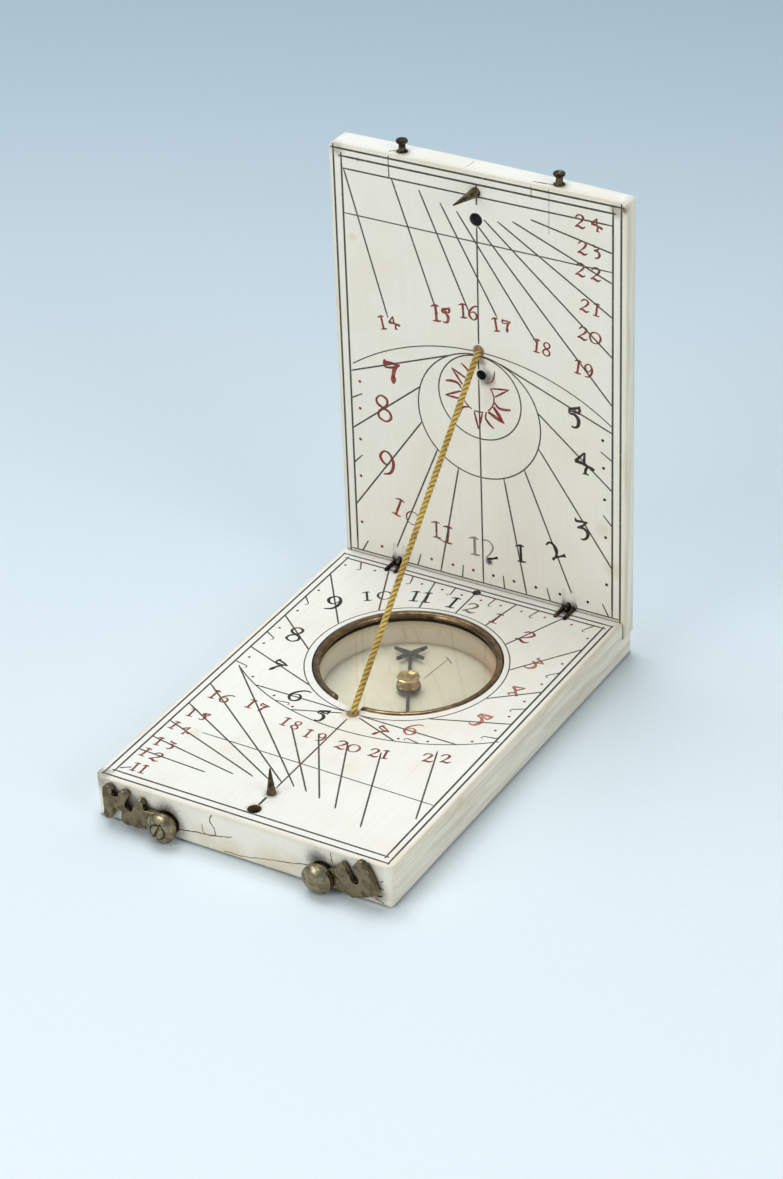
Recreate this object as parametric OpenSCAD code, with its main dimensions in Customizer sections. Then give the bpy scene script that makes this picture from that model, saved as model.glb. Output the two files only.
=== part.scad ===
// Diptych sundial: two flat leaves that fold together like a book. The lower leaf
// holds a compass and a horizontal dial, the upper leaf two upright dials.
// X runs to the right, Y to the back and Z up. The origin lies on the underside,
// straight below the hinge line, half way across the lower leaf.
// The leaf stands open at a right angle, as it does in use.

/* [Leaves] */
// Width of each leaf
leaf_width = 52.2; // [48:0.2:60]
// Length of each leaf from the hinge line to its free edge
leaf_length = 74.5; // [73.5:0.5:90]
// Thickness of the lower leaf
lower_thickness = 7.4; // [7.2:0.1:10]
// Thickness of the upper leaf at the crown of its back
upper_thickness = 4.5; // [4.2:0.1:6]
// Radius of the long soft curve across the upper leaf's back
crown_radius = 620; // [500:10:2000]
// How far the crown of the back lies to the left of the upper leaf's middle
crown_shift = 12.5; // [0:0.5:14]
// How far the upper leaf sits to the right of the lower one
upper_shift = 0.5; // [0:0.1:1]
// Gap between the two dial faces when the leaves are closed
leaf_gap = 0.3; // [0.2:0.05:0.4]
// Depth of the step behind the hinge line, which the open leaf stands on
step_depth = 3.1; // [2.8:0.1:3.8]
// Length of that step
step_length = 3.9; // [3.2:0.1:5]
// Gap left between the open leaf's foot and the step
step_clearance = 0.15; // [0.1:0.05:0.3]
// Radius of the leaves' corners, seen square to the dial faces
corner_radius = 1.4; // [1:0.1:2]
// Rounding of the edges round the dial faces
face_edge = 0.35; // [0.2:0.05:0.6]
// Rounding of the outer edges
outer_edge = 0.9; // [0.6:0.1:1.2]

/* [Hinges] */
// Distance between the middles of the two wire hinges
hinge_spread = 31.6; // [26:0.2:38]
// Thickness of the hinge wire
wire_d = 0.66; // [0.5:0.02:0.72]
// Distance between the two legs of a staple, middle to middle
staple_width = 1.7; // [1.6:0.05:2.4]
// How far a staple lies forward on the lower dial before it turns down
staple_reach = 2.9; // [2.4:0.1:4]
// Length of a staple's legs inside the lower leaf
staple_leg = 3.6; // [2.5:0.1:4.2]
// Play between the staple and the eye that turns on it
hinge_play = 0.07; // [0.03:0.01:0.1]
// Length of an eye's shank inside the upper leaf
eye_shank = 2.4; // [2:0.1:2.6]

/* [Compass] */
// Distance from the hinge line to the middle of the compass
compass_front = 25.6; // [25:0.2:26.4]
// Diameter of the compass well
well_d = 28.4; // [28:0.1:29]
// Depth of the compass well
well_depth = 6; // [5.9:0.05:6.2]
// Diameter of the glass
glass_d = 30.5; // [30:0.1:30.7]
// Thickness of the glass
glass_thickness = 0.7; // [0.5:0.05:0.75]
// Depth of the glass's upper side below the dial face
glass_depth = 1.05; // [1.02:0.01:1.1]
// Thickness of the sprung wire ring that holds the glass down
ring_wire_d = 1.2; // [1:0.05:1.25]
// Angle of the gap in that ring
ring_gap = 19; // [10:1:40]
// Direction of that gap, seen from above
ring_gap_direction = -100; // [-170:1:170]
// Length of the needle from its pivot to the end of its forked tail
needle_tail = 11.6; // [9:0.1:13]
// Length of the needle from its pivot to its point
needle_point = 9.6; // [7:0.1:13]
// Thickness of the needle
needle_thickness = 0.4; // [0.3:0.05:0.5]
// Direction of the needle's tail at rest
needle_direction = 118; // [0:1:359]
// Height of the needle over the floor of the well
needle_lift = 0.75; // [0.5:0.05:0.8]
// Diameter of the brass cap at its foot
cap_d = 4.6; // [3.6:0.1:5]
// Height of the brass cap
cap_height = 2.7; // [2.4:0.1:2.8]
// Thickness of the steel point that the cap turns on
pivot_d = 0.6; // [0.4:0.05:0.8]

/* [Gnomons] */
// Distance of the noon line from the lower leaf's middle
noon_shift = 0.6; // [0:0.1:1.2]
// Distance from the hinge line to the cord's lower hole
cord_front = 42.3; // [41.8:0.1:44]
// Height of the cord's upper hole over the lower dial
cord_rise = 43.5; // [40:0.1:50]
// Thickness of the cord
cord_d = 1.1; // [0.8:0.05:1.15]
// Diameter of the holes that the cord is wedged in
cord_hole_d = 2; // [1.9:0.05:2.4]
// Length of the wedges that hold the cord
wedge_length = 3.2; // [2:0.1:3.5]
// Height of the upper leaf's spare cord hole over the lower dial
spare_hole_rise = 39.3; // [30:0.1:40.5]
// Diameter of the spare cord hole
spare_hole_d = 1.6; // [1.2:0.1:2]
// Height of the lower pin gnomon over its dial
lower_pin_height = 4.5; // [3:0.1:4.5]
// Height of the upper pin gnomon over its dial
upper_pin_height = 5.5; // [3:0.1:5.6]
// Diameter of the lower pin gnomon at its foot
lower_pin_foot_d = 1.6; // [1.2:0.1:1.7]
// Diameter of the upper pin gnomon at its foot
upper_pin_foot_d = 1.8; // [1.2:0.1:1.8]
// Diameter of the pin gnomons' blunt points
pin_point_d = 0.24; // [0.15:0.01:0.4]
// Diameter of the pin gnomons' shanks
pin_shank_d = 0.9; // [0.6:0.05:1.1]
// Length of the pin gnomons' shanks
pin_shank = 3; // [2:0.1:3.6]
// Height of the upper pin gnomon over the lower dial
upper_pin_rise = 70.9; // [69.5:0.1:71]
// Distance from the hinge line to the lower pin gnomon
lower_pin_front = 66.3; // [64:0.1:67]
// How far the upper pin's point leans to the left
upper_pin_lean = 0.8; // [0:0.1:0.8]
// Diameter of the holes that take the pin gnomons when the leaves are closed
pin_pocket_d = 2.1; // [2:0.05:2.4]

/* [Catches] */
// Distance between the pivots of the two hooks
hook_spread = 27.4; // [26:0.2:28.6]
// Depth of the hooks' pivots below the lower dial
hook_drop = 4.6; // [4.4:0.05:4.7]
// Height of the hooks' plates
hook_height = 6.2; // [5.6:0.1:6.5]
// Thickness of the hooks
hook_thickness = 1; // [0.8:0.05:1.3]
// Angle of the hooks' slots over the level, as they hang open
hook_tilt = 14; // [8:1:20]
// Diameter of the hooks' pivot screws
screw_d = 2; // [1.6:0.1:2.4]
// Length of the pivot screws inside the lower leaf
screw_depth = 5.5; // [4:0.5:9]
// Diameter of the screws' heads
screw_head_d = 5; // [4.4:0.1:5.2]
// Height of the screws' heads
screw_head_height = 1.7; // [1.2:0.1:2]
// Width of the slot cut across a screw's head
screw_slot = 0.5; // [0.3:0.05:0.7]
// Diameter of the washers behind the hooks
washer_d = 4.2; // [3.4:0.1:5]
// Thickness of the washers behind the hooks
washer_thickness = 0.3; // [0.2:0.05:0.5]
// Diameter of the catch studs' necks
stud_d = 1.2; // [1:0.05:1.3]
// Diameter of the catch studs' heads
stud_head_d = 1.9; // [1.7:0.1:2.4]
// Height of the catch studs' heads
stud_head_height = 0.6; // [0.4:0.05:0.9]
// Distance of the catch studs behind the upper dial
stud_back = 1.4; // [1.3:0.05:1.7]
// Length of the catch studs inside the upper leaf
stud_depth = 2.8; // [2:0.1:3]

/* [Hidden] */
$fn = 96;

// Fine values
seat_gap = 0.02;      // radial gap of what is glued or driven into a bore
working_gap = 0.05;   // gap of what turns or slides
slip = 0.03;          // how far an edge's rounding runs past the face it meets
over = 1;             // how far a cut runs past what it cuts

// Levels and lines
dial_z = lower_thickness;
axis_y = -leaf_gap / 2;
axis_z = dial_z + leaf_gap / 2;
foot_z = dial_z - step_depth + step_clearance;
top_z = dial_z + leaf_length;
upper_left = upper_shift - leaf_width / 2;
upper_right = upper_shift + leaf_width / 2;
crown_x = upper_shift - crown_shift;
hinge_middle = (upper_shift + noon_shift) / 2;
hinge_left = hinge_middle - hinge_spread / 2;
hinge_right = hinge_middle + hinge_spread / 2;

crown_turn = 12;      // how much of the crown's circle is drawn, in degrees

// Compass
compass_shift = 0.3;  // how far its middle lies to the right of the noon line
well_floor = dial_z - well_depth;
glass_top = dial_z - glass_depth;
glass_seat = glass_top - glass_thickness;
ring_r = glass_d / 2 - ring_wire_d / 2;
needle_z = well_floor + needle_lift;
needle_stem = 0.6;    // width of the needle between its cap and its tail
needle_bore_d = 1.4;  // hole in the needle under the cap
pivot_sunk = 0.8;     // how far the steel point stands in the floor
pivot_spare = 0.1;    // how much deeper its bore is
pivot_straight = 1.5 + needle_lift;
pivot_height = 2.5 + needle_lift;
pivot_tip_r = 0.06;

// Cord: it leaves each hole on the side that faces the other one
cord_offset = cord_hole_d / 2 - cord_d / 2 - working_gap;
cord_end = 2.4;       // how far it goes into each hole
cord_bend = 1.3;      // radius of its turn over the rim of each hole
cord_y = -cord_front + cord_offset;
cord_z = dial_z + cord_rise - cord_offset;

// Its route in Y and Z: up out of the lower hole, over to the upper one and into it.
// The free stretch slopes so that it touches the turns at both ends.
low_centre = [cord_y + cord_bend, dial_z];
high_centre = [0, cord_z - cord_bend];
cord_slope = atan2(high_centre[1] - low_centre[1], high_centre[0] - low_centre[0]);
function turn(centre, a) = centre + cord_bend * [cos(a), sin(a)];
cord_route = concat(
  [[cord_y, dial_z - cord_end]],
  [for (i = [0:4]) turn(low_centre, 180 - i * (90 - cord_slope) / 4)],
  [for (i = [0:4]) turn(high_centre, 90 + cord_slope - i * cord_slope / 4)],
  [[cord_end, cord_z]]);

// Pins and spare hole
spare_hole_shift = 0.4;   // how far the spare hole lies to the right of the noon line
pocket_spare = 0.4;       // how much deeper the pocket is than the upper pin is high
pocket_shift = upper_pin_lean / 6;
pin_root = 0.4;           // how far a pin's cone starts below its dial
pin_overlap = 0.3;        // how far a pin's shank runs up into its cone

// Hooks: closed, a stud stands straight above the pivot of its hook
hook_shift = 0.1;         // how far the hooks' middle lies to the right of the noon line
hook_middle = noon_shift + hook_shift;
hook_seat = hook_drop + leaf_gap + stud_back;
hook_slot = stud_d + 2 * working_gap + 0.05;
hook_front = leaf_length + washer_thickness + working_gap;
screw_head_front = hook_front + hook_thickness + working_gap;
stud_neck = washer_thickness + hook_thickness + 4 * working_gap;
slot_opens_at = 70;       // direction from the pivot in which a hook's slot opens
screw_slot_turn = -65;    // direction of the slot in the left screw's head
dome_share = 0.55;        // share of a screw head's height that is domed

IVORY = [0.95, 0.93, 0.86];
IRON = [0.2, 0.17, 0.14];
BRONZE = [0.55, 0.38, 0.24];
BRASS = [0.8, 0.65, 0.38];
OLD_BRASS = [0.42, 0.37, 0.29];

// A rectangle from one corner to the other, with one rounding at its two lower
// corners and one at its two upper corners
module rounded_plate(low, high, low_r, high_r) {
  difference() {
    translate(low) square(high - low);
    for (right = [0, 1], top = [0, 1]) {
      r = top ? high_r : low_r;
      corner = [right ? high[0] : low[0], top ? high[1] : low[1]];
      inward = [right ? -r : r, top ? -r : r];
      difference() {
        translate(corner + [min(0, inward[0]), min(0, inward[1])]
                  - [right ? 0 : over, top ? 0 : over])
          square([r + over, r + over]);
        translate(corner + inward) circle(r);
      }
    }
  }
}

// Turns an outline drawn in X and Z into a block along Y
module along_y(y0, y1) {
  translate([0, y1, 0]) rotate([90, 0, 0]) linear_extrude(y1 - y0) children();
}

// Turns an outline drawn in Y and Z into a block along X
module along_x(x0, x1) {
  translate([x0, 0, 0]) rotate([90, 0, 90]) linear_extrude(x1 - x0) children();
}

// A straight round bar between two points
module bar(a, b, d) {
  v = b - a;
  len = norm(v);
  translate(a)
    rotate([0, acos(v[2] / len), atan2(v[1], v[0])])
      cylinder(h = len, d = d);
}

// The lower leaf before it is bored
module lower_block() {
  half = leaf_width / 2;
  intersection() {
    translate([0, 0, -over])
      linear_extrude(lower_thickness + 2 * over)
        rounded_plate([-half, -leaf_length], [half, step_length],
                      corner_radius, corner_radius);
    along_y(-leaf_length - over, step_length + over)
      rounded_plate([-half - slip, 0], [half + slip, dial_z], outer_edge, face_edge);
    along_x(-half - over, half + over)
      difference() {
        rounded_plate([-leaf_length - slip, -slip], [step_length + slip, dial_z + slip],
                      outer_edge, face_edge);
        translate([axis_y, dial_z - step_depth])
          square([step_length + over, step_depth + over]);
      }
  }
}

// Space for a staple, and room for the eye that turns on it
module staple_cut(x) {
  d = wire_d + 2 * seat_gap;
  eye_r = wire_d * 1.5 + hinge_play + 2 * working_gap;
  reach = axis_y - staple_reach;
  translate([x, axis_y, axis_z]) rotate([0, 90, 0])
    cylinder(h = staple_width + wire_d + 2 * working_gap, d = d, center = true);
  translate([x, axis_y, axis_z]) rotate([0, 90, 0])
    cylinder(h = wire_d + 4 * working_gap, r = eye_r, center = true);
  for (side = [-1, 1]) {
    leg_x = x + side * staple_width / 2;
    bar([leg_x, reach, axis_z], [leg_x, axis_y, axis_z], d);
    translate([leg_x, reach, axis_z]) sphere(d = d);
    bar([leg_x, reach, axis_z - staple_leg - working_gap], [leg_x, reach, axis_z], d);
    translate([leg_x, axis_y, axis_z]) sphere(d = d);
  }
}

module lower_leaf() {
  color(IVORY)
  difference() {
    lower_block();
    at_compass() {
      translate([0, 0, glass_seat])
        cylinder(h = lower_thickness, d = glass_d + 2 * working_gap);
      translate([0, 0, well_floor])
        cylinder(h = lower_thickness, d = well_d);
      translate([0, 0, well_floor - pivot_sunk - pivot_spare])
        cylinder(h = lower_thickness, d = pivot_d + 2 * seat_gap);
    }
    translate([noon_shift, -cord_front, -over])
      cylinder(h = lower_thickness + 2 * over, d = cord_hole_d);
    translate([noon_shift, -lower_pin_front, dial_z - pin_shank - working_gap])
      cylinder(h = lower_thickness, d = pin_shank_d + 2 * seat_gap);
    translate([noon_shift - pocket_shift, -upper_pin_rise,
               dial_z - upper_pin_height - pocket_spare])
      cylinder(h = lower_thickness, d = pin_pocket_d);
    for (side = [-1, 1])
      bar([hook_middle + side * hook_spread / 2, -leaf_length + screw_depth + working_gap,
           dial_z - hook_drop],
          [hook_middle + side * hook_spread / 2, -leaf_length - over, dial_z - hook_drop],
          screw_d + 2 * seat_gap);
    staple_cut(hinge_left);
    staple_cut(hinge_right);
  }
}

// The upper leaf's section, seen from above, without the crown of its back: the side
// edges are rounded so that they run out into the crown
module upper_section() {
  r = outer_edge;
  difference() {
    rounded_plate([upper_left, 0], [upper_right, upper_thickness + over], face_edge, face_edge);
    for (side = [-1, 1]) {
      reach = crown_radius - r + slip;
      lean = asin((upper_shift + side * (leaf_width / 2 - r) - crown_x) / reach);
      centre = [upper_shift + side * (leaf_width / 2 - r),
                upper_thickness - crown_radius + reach * cos(lean)];
      difference() {
        translate(centre)
          polygon([[0, 0], 4 * r * [sin(lean), cos(lean)], 4 * r * [side, 1], 4 * r * [side, 0]]);
        translate(centre) circle(r);
      }
    }
  }
}

// A shell with the back's long soft curve, whose upper and lower edges are rounded
module crown_shell() {
  low = foot_z - slip;
  high = top_z + slip;
  translate([crown_x, upper_thickness - crown_radius, 0])
    rotate([0, 0, 90 - crown_turn / 2])
      rotate_extrude(angle = crown_turn, $fn = 3000)
        difference() {
          translate([crown_radius - 2 * upper_thickness, low])
            square([2 * upper_thickness, high - low]);
          for (end = [[low, 1], [high, -1]])
            difference() {
              translate([crown_radius - outer_edge, end[0] + (end[1] > 0 ? -over : -outer_edge)])
                square(outer_edge + over);
              translate([crown_radius - outer_edge, end[0] + end[1] * outer_edge])
                circle(outer_edge);
            }
        }
}

module upper_block() {
  intersection() {
    along_y(-over, upper_thickness + over)
      rounded_plate([upper_left - slip, foot_z], [upper_right + slip, top_z],
                    outer_edge, corner_radius);
    translate([0, 0, foot_z - over])
      linear_extrude(top_z - foot_z + 2 * over) upper_section();
    along_x(upper_left - over, upper_right + over)
      rounded_plate([-slip, foot_z - slip], [2 * upper_thickness, top_z + slip],
                    face_edge, face_edge);
    crown_shell();
  }
}

// Room in the upper leaf for an eye, and for the staple when the leaves are closed
module eye_cut(x) {
  groove = wire_d + 4 * working_gap;
  eye_r = wire_d * 1.5 + hinge_play + seat_gap;
  translate([x, axis_y, axis_z]) rotate([0, 90, 0])
    cylinder(h = staple_width + wire_d + 6 * working_gap, d = groove, center = true);
  translate([x, axis_y, axis_z]) rotate([0, 90, 0])
    cylinder(h = wire_d + 2 * seat_gap, r = eye_r, center = true);
  for (side = [-1, 1]) {
    leg_x = x + side * staple_width / 2;
    tip = axis_z + staple_reach + 2 * working_gap;
    bar([leg_x, axis_y, axis_z], [leg_x, axis_y, tip], groove);
    translate([leg_x, axis_y, tip]) sphere(d = groove);
  }
  bar([x, axis_y, axis_z], eye_tip(x, eye_shank + working_gap), wire_d + 2 * seat_gap);
}

// A point on the line of an eye's shank, which runs back and up into the upper leaf
function eye_tip(x, reach) = [x, axis_y + (reach + wire_d) * cos(45),
                              axis_z + (reach + wire_d) * sin(45)];

module upper_leaf() {
  color(IVORY)
  difference() {
    upper_block();
    eye_cut(hinge_left);
    eye_cut(hinge_right);
    bar([noon_shift, -over, dial_z + cord_rise],
        [noon_shift, upper_thickness + over, dial_z + cord_rise], cord_hole_d);
    bar([noon_shift + spare_hole_shift, -over, dial_z + spare_hole_rise],
        [noon_shift + spare_hole_shift, upper_thickness + over, dial_z + spare_hole_rise],
        spare_hole_d);
    bar([noon_shift, -over, dial_z + upper_pin_rise],
        [noon_shift, pin_shank + working_gap, dial_z + upper_pin_rise],
        pin_shank_d + 2 * seat_gap);
    bar([noon_shift, -over, dial_z + lower_pin_front],
        [noon_shift, upper_thickness + over, dial_z + lower_pin_front], pin_pocket_d);
    for (side = [-1, 1])
      translate([hook_middle + side * hook_spread / 2, stud_back, top_z - stud_depth])
        cylinder(h = stud_depth + over, d = stud_d + 2 * seat_gap);
  }
}

// A wire staple: its crossbar lies on the hinge line, its legs run forward over the
// lower dial in two grooves and then turn down into the leaf
module hinge_staple(x) {
  reach = axis_y - staple_reach;
  color(IRON)
  union() {
    for (side = [-1, 1]) {
      leg_x = x + side * staple_width / 2;
      bar([leg_x, reach, axis_z], [leg_x, axis_y, axis_z], wire_d);
      translate([leg_x, axis_y, axis_z]) sphere(d = wire_d);
      translate([leg_x, reach, axis_z]) sphere(d = wire_d);
      bar([leg_x, reach, axis_z - staple_leg], [leg_x, reach, axis_z], wire_d);
    }
    bar([x - staple_width / 2, axis_y, axis_z], [x + staple_width / 2, axis_y, axis_z], wire_d);
  }
}

// A wire eye: a ring round the staple's crossbar, with a shank up into the upper leaf
module hinge_eye(x) {
  color(IRON)
  union() {
    translate([x, axis_y, axis_z]) rotate([0, 90, 0])
      rotate_extrude() translate([wire_d + hinge_play, 0]) circle(d = wire_d);
    bar(eye_tip(x, hinge_play), eye_tip(x, eye_shank), wire_d - seat_gap);
  }
}

module at_compass() {
  translate([noon_shift + compass_shift, -compass_front, 0]) children();
}

module compass_glass() {
  color([0.8, 0.85, 0.85, 0.4])
  at_compass() translate([0, 0, glass_seat]) cylinder(h = glass_thickness, d = glass_d);
}

// A ring of round wire, open where its two ends spring apart
module glass_ring() {
  color(BRONZE)
  at_compass() translate([0, 0, glass_top + ring_wire_d / 2])
    rotate([0, 0, ring_gap_direction + ring_gap / 2])
      rotate_extrude(angle = 360 - ring_gap) translate([ring_r, 0]) circle(d = ring_wire_d);
}

// A steel pin that stands in the floor of the well, filed to a point
module compass_pivot() {
  color(IRON)
  at_compass() translate([0, 0, well_floor - pivot_sunk])
    rotate_extrude()
      polygon([[0, 0], [pivot_d / 2, 0], [pivot_d / 2, pivot_straight],
               [pivot_tip_r, pivot_height], [0, pivot_height]]);
}

// The needle's outline, its tail towards +X: a point, a slim stem that widens under the
// cap, and a tail crossed by two forked arms
module needle_outline() {
  cross = needle_tail - 2.1;
  stem = needle_stem;
  polygon([[-needle_point, 0], [1.4 - needle_point, -stem / 2], [cross - 0.5, -stem / 2],
           [cross - 1.6, -2], [cross - 1.2, -2.3], [cross, -0.8], [needle_tail - 0.3, -2.7],
           [needle_tail, -2.4], [cross + 0.6, 0], [needle_tail, 2.4], [needle_tail - 0.3, 2.7],
           [cross, 0.8], [cross - 1.2, 2.3], [cross - 1.6, 2], [cross - 0.5, stem / 2],
           [1.4 - needle_point, stem / 2]]);
  circle(d = cap_d);
}

module compass_needle() {
  color(IRON)
  at_compass() translate([0, 0, needle_z])
    rotate([0, 0, needle_direction])
      linear_extrude(needle_thickness) difference() {
        needle_outline();
        circle(d = needle_bore_d);
      }
}

// The cap: a bell of brass with a cone bored up into it, which rides on the point
module needle_cap() {
  foot = needle_z + needle_thickness;
  tip = well_floor - pivot_sunk + pivot_height - foot;
  color(BRASS)
  at_compass() translate([0, 0, foot])
    rotate_extrude()
      polygon([[needle_bore_d / 2, 0], [cap_d / 2, 0], [cap_d / 2, 0.35],
               [cap_d / 2 - 0.3, 0.9], [0.75, cap_height - 0.3], [0.45, cap_height],
               [0, cap_height], [0, tip + working_gap], [2 * pivot_tip_r, tip]]);
}

// The cord is one tube swept along its route, with eight sides
module gnomon_cord() {
  r = cord_d / 2;
  sides = 8;
  count = len(cord_route);
  along = function(i)
    let(step = cord_route[min(i + 1, count - 1)] - cord_route[max(i - 1, 0)]) step / norm(step);
  points = [for (i = [0:count - 1], k = [0:sides - 1])
    let(t = along(i), a = 360 * k / sides)
      [noon_shift + r * cos(a), cord_route[i][0] - r * sin(a) * t[1],
       cord_route[i][1] + r * sin(a) * t[0]]];
  walls = [for (i = [0:count - 2], k = [0:sides - 1])
    let(a = i * sides + k, b = i * sides + (k + 1) % sides)
      [a, b, b + sides, a + sides]];
  ends = [[for (k = [sides - 1:-1:0]) k], [for (k = [0:sides - 1]) (count - 1) * sides + k]];
  color([0.8, 0.62, 0.25])
  polyhedron(points, concat(walls, ends));
}

// A round wedge, hollowed along one side for the cord that it grips
module cord_wedge(side) {
  difference() {
    cylinder(h = wedge_length, d = cord_hole_d - 2 * seat_gap);
    translate([0, side * cord_offset, -over])
      cylinder(h = wedge_length + 2 * over, d = cord_d + working_gap);
  }
}

module lower_cord_wedge() {
  color([0.55, 0.4, 0.3])
  translate([noon_shift, -cord_front, dial_z - wedge_length + working_gap]) cord_wedge(1);
}

module upper_cord_wedge() {
  color([0.55, 0.4, 0.3])
  translate([noon_shift, wedge_length - working_gap, dial_z + cord_rise])
    rotate([90, 0, 0]) cord_wedge(-1);
}

// A slim cone on a round shank, standing along Z from its foot
module pin_gnomon(height, foot_d, lean) {
  cone_length = norm([lean, height]);
  union() {
    difference() {
      rotate([0, -atan2(lean, height), 0]) translate([0, 0, -pin_root])
        cylinder(h = cone_length + pin_root, d1 = foot_d, d2 = pin_point_d);
      translate([-foot_d, -foot_d, -over]) cube([2 * foot_d, 2 * foot_d, over]);
    }
    translate([0, 0, -pin_shank]) cylinder(h = pin_shank + pin_overlap, d = pin_shank_d);
  }
}

module lower_pin_gnomon() {
  color(OLD_BRASS)
  translate([noon_shift, -lower_pin_front, dial_z])
    pin_gnomon(lower_pin_height, lower_pin_foot_d, 0);
}

module upper_pin_gnomon() {
  color(OLD_BRASS)
  translate([noon_shift, 0, dial_z + upper_pin_rise])
    rotate([90, 0, 0]) pin_gnomon(upper_pin_height, upper_pin_foot_d, upper_pin_lean);
}

// The left hook's outline, from its pivot at the origin out along +X: a ring, a neck, a
// body that the slot divides and a tail like a fish's. All is in parts of the hook's
// height, except for the slot's distance.
module left_outline() {
  seat = hook_seat;
  u = hook_height / 6.2;
  circle(2 * u);
  polygon([[0, -1.3 * u], [seat - 2 * u, -1.3 * u], [seat - 2 * u, 1.9 * u], [u, 1.9 * u]]);
  translate([seat - 1.3 * u, -0.4 * u]) circle(1.55 * u);
  translate([seat - 2 * u, 2.6 * u]) circle(0.9 * u);
  polygon([[seat - 2.6 * u, 0], [seat + 1.3 * u, -0.6 * u], [seat + 1.2 * u, 3.4 * u],
           [seat - 2.1 * u, 3.4 * u]]);
  translate([seat + 0.25 * u, -0.9 * u]) circle(1.1 * u);
  translate([seat + 0.75 * u, 3.3 * u]) circle(0.85 * u);
  polygon([[seat, 0.2 * u], [seat + 3.1 * u, 0.6 * u], [seat + 3.1 * u, 2.7 * u],
           [seat, 3 * u]]);
  translate([seat + 3.4 * u, 1.4 * u]) circle(1.1 * u);
  translate([seat + 3.6 * u, 3.4 * u]) circle(0.9 * u);
  translate([seat + 3.8 * u, -u]) circle(0.85 * u);
  translate([seat + 2.9 * u, -u]) square([1.6 * u, 4.4 * u]);
}

// The right hook's outline: a plate that widens like a fan, with a knob on each side of
// the slot and a small toe
module right_outline() {
  seat = hook_seat;
  u = hook_height / 6.2;
  circle(2 * u);
  polygon([[0, -1.4 * u], [seat / 2, -1.1 * u], [seat - 0.7 * u, -1.8 * u],
           [seat + 1.7 * u, -u], [seat + 3.2 * u, -0.3 * u], [seat + 3.5 * u, 0.9 * u],
           [seat + 2.7 * u, 3 * u], [seat + 1.7 * u, 4.6 * u], [seat + 0.1 * u, 4.2 * u],
           [seat - 1.8 * u, 3.3 * u], [seat / 2, 2.8 * u], [0.8 * u, 1.5 * u]]);
  translate([seat - 2.1 * u, 3.1 * u]) circle(0.85 * u);
  translate([seat + 0.9 * u, 4.4 * u]) circle(0.9 * u);
  translate([seat + 3 * u, 0.4 * u]) circle(0.7 * u);
  translate([seat - 0.7 * u, -u]) circle(0.85 * u);
}

// What is cut out of both: the pivot's hole, and a slot for the stud, which opens upwards
// and runs round the pivot
module hook_cuts() {
  seat_at = hook_seat * [cos(hook_tilt), sin(hook_tilt)];
  circle(d = screw_d + 2 * working_gap);
  translate(seat_at) circle(d = hook_slot);
  intersection() {
    difference() {
      circle(r = hook_seat + hook_slot / 2);
      circle(r = hook_seat - hook_slot / 2);
    }
    polygon([[0, 0], 2 * seat_at, 2 * hook_seat * [cos(slot_opens_at), sin(slot_opens_at)]]);
  }
}

module hook(side) {
  translate([hook_middle + side * hook_spread / 2, -hook_front, dial_z - hook_drop])
    rotate([90, 0, 0]) linear_extrude(hook_thickness)
      mirror([side < 0 ? 1 : 0, 0]) difference() {
        children();
        hook_cuts();
      }
}

module left_hook() {
  color(OLD_BRASS) hook(-1) left_outline();
}

module right_hook() {
  color(OLD_BRASS) hook(1) right_outline();
}

// A pivot screw: a shank driven into the front of the lower leaf, and a domed head
module hook_screw(side) {
  dome = dome_share * screw_head_height;
  dome_r = (screw_head_d * screw_head_d / 4 + dome * dome) / (2 * dome);
  rim = screw_head_height - dome;
  translate([hook_middle + side * hook_spread / 2, -screw_head_front, dial_z - hook_drop])
    rotate([90, 0, 0]) {
      translate([0, 0, leaf_length - screw_head_front - screw_depth])
        cylinder(h = screw_head_front - leaf_length + screw_depth + 0.2, d = screw_d);
      cylinder(h = rim, d = screw_head_d);
      intersection() {
        translate([0, 0, rim - 0.1]) cylinder(h = dome + 0.2, d = screw_head_d);
        translate([0, 0, rim + dome - dome_r]) sphere(dome_r);
      }
    }
}

// The left screw still shows its slot
module left_hook_screw() {
  color(OLD_BRASS)
  difference() {
    hook_screw(-1);
    translate([hook_middle - hook_spread / 2, 0, dial_z - hook_drop])
      rotate([90, screw_slot_turn, 0])
        translate([-screw_head_d, -screw_slot / 2,
                   screw_head_front + screw_head_height - screw_slot])
          cube([2 * screw_head_d, screw_slot, over]);
  }
}

// The right one is worn smooth
module right_hook_screw() {
  color(OLD_BRASS) hook_screw(1);
}

module hook_washer(side) {
  translate([hook_middle + side * hook_spread / 2, -leaf_length, dial_z - hook_drop])
    rotate([90, 0, 0]) difference() {
      cylinder(h = washer_thickness, d = washer_d);
      translate([0, 0, -over])
        cylinder(h = washer_thickness + 2 * over, d = screw_d + 2 * working_gap);
    }
}

module left_hook_washer() {
  color(IRON) hook_washer(-1);
}

module right_hook_washer() {
  color(IRON) hook_washer(1);
}

// A catch stud: a neck that a hook's slot closes round, under a small flat head
module catch_stud(side) {
  translate([hook_middle + side * hook_spread / 2, stud_back, top_z - stud_depth])
    union() {
      cylinder(h = stud_depth + stud_neck, d = stud_d);
      translate([0, 0, stud_depth + stud_neck]) cylinder(h = stud_head_height, d = stud_head_d);
    }
}

module left_catch_stud() {
  color(OLD_BRASS) catch_stud(-1);
}

module right_catch_stud() {
  color(OLD_BRASS) catch_stud(1);
}

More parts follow.
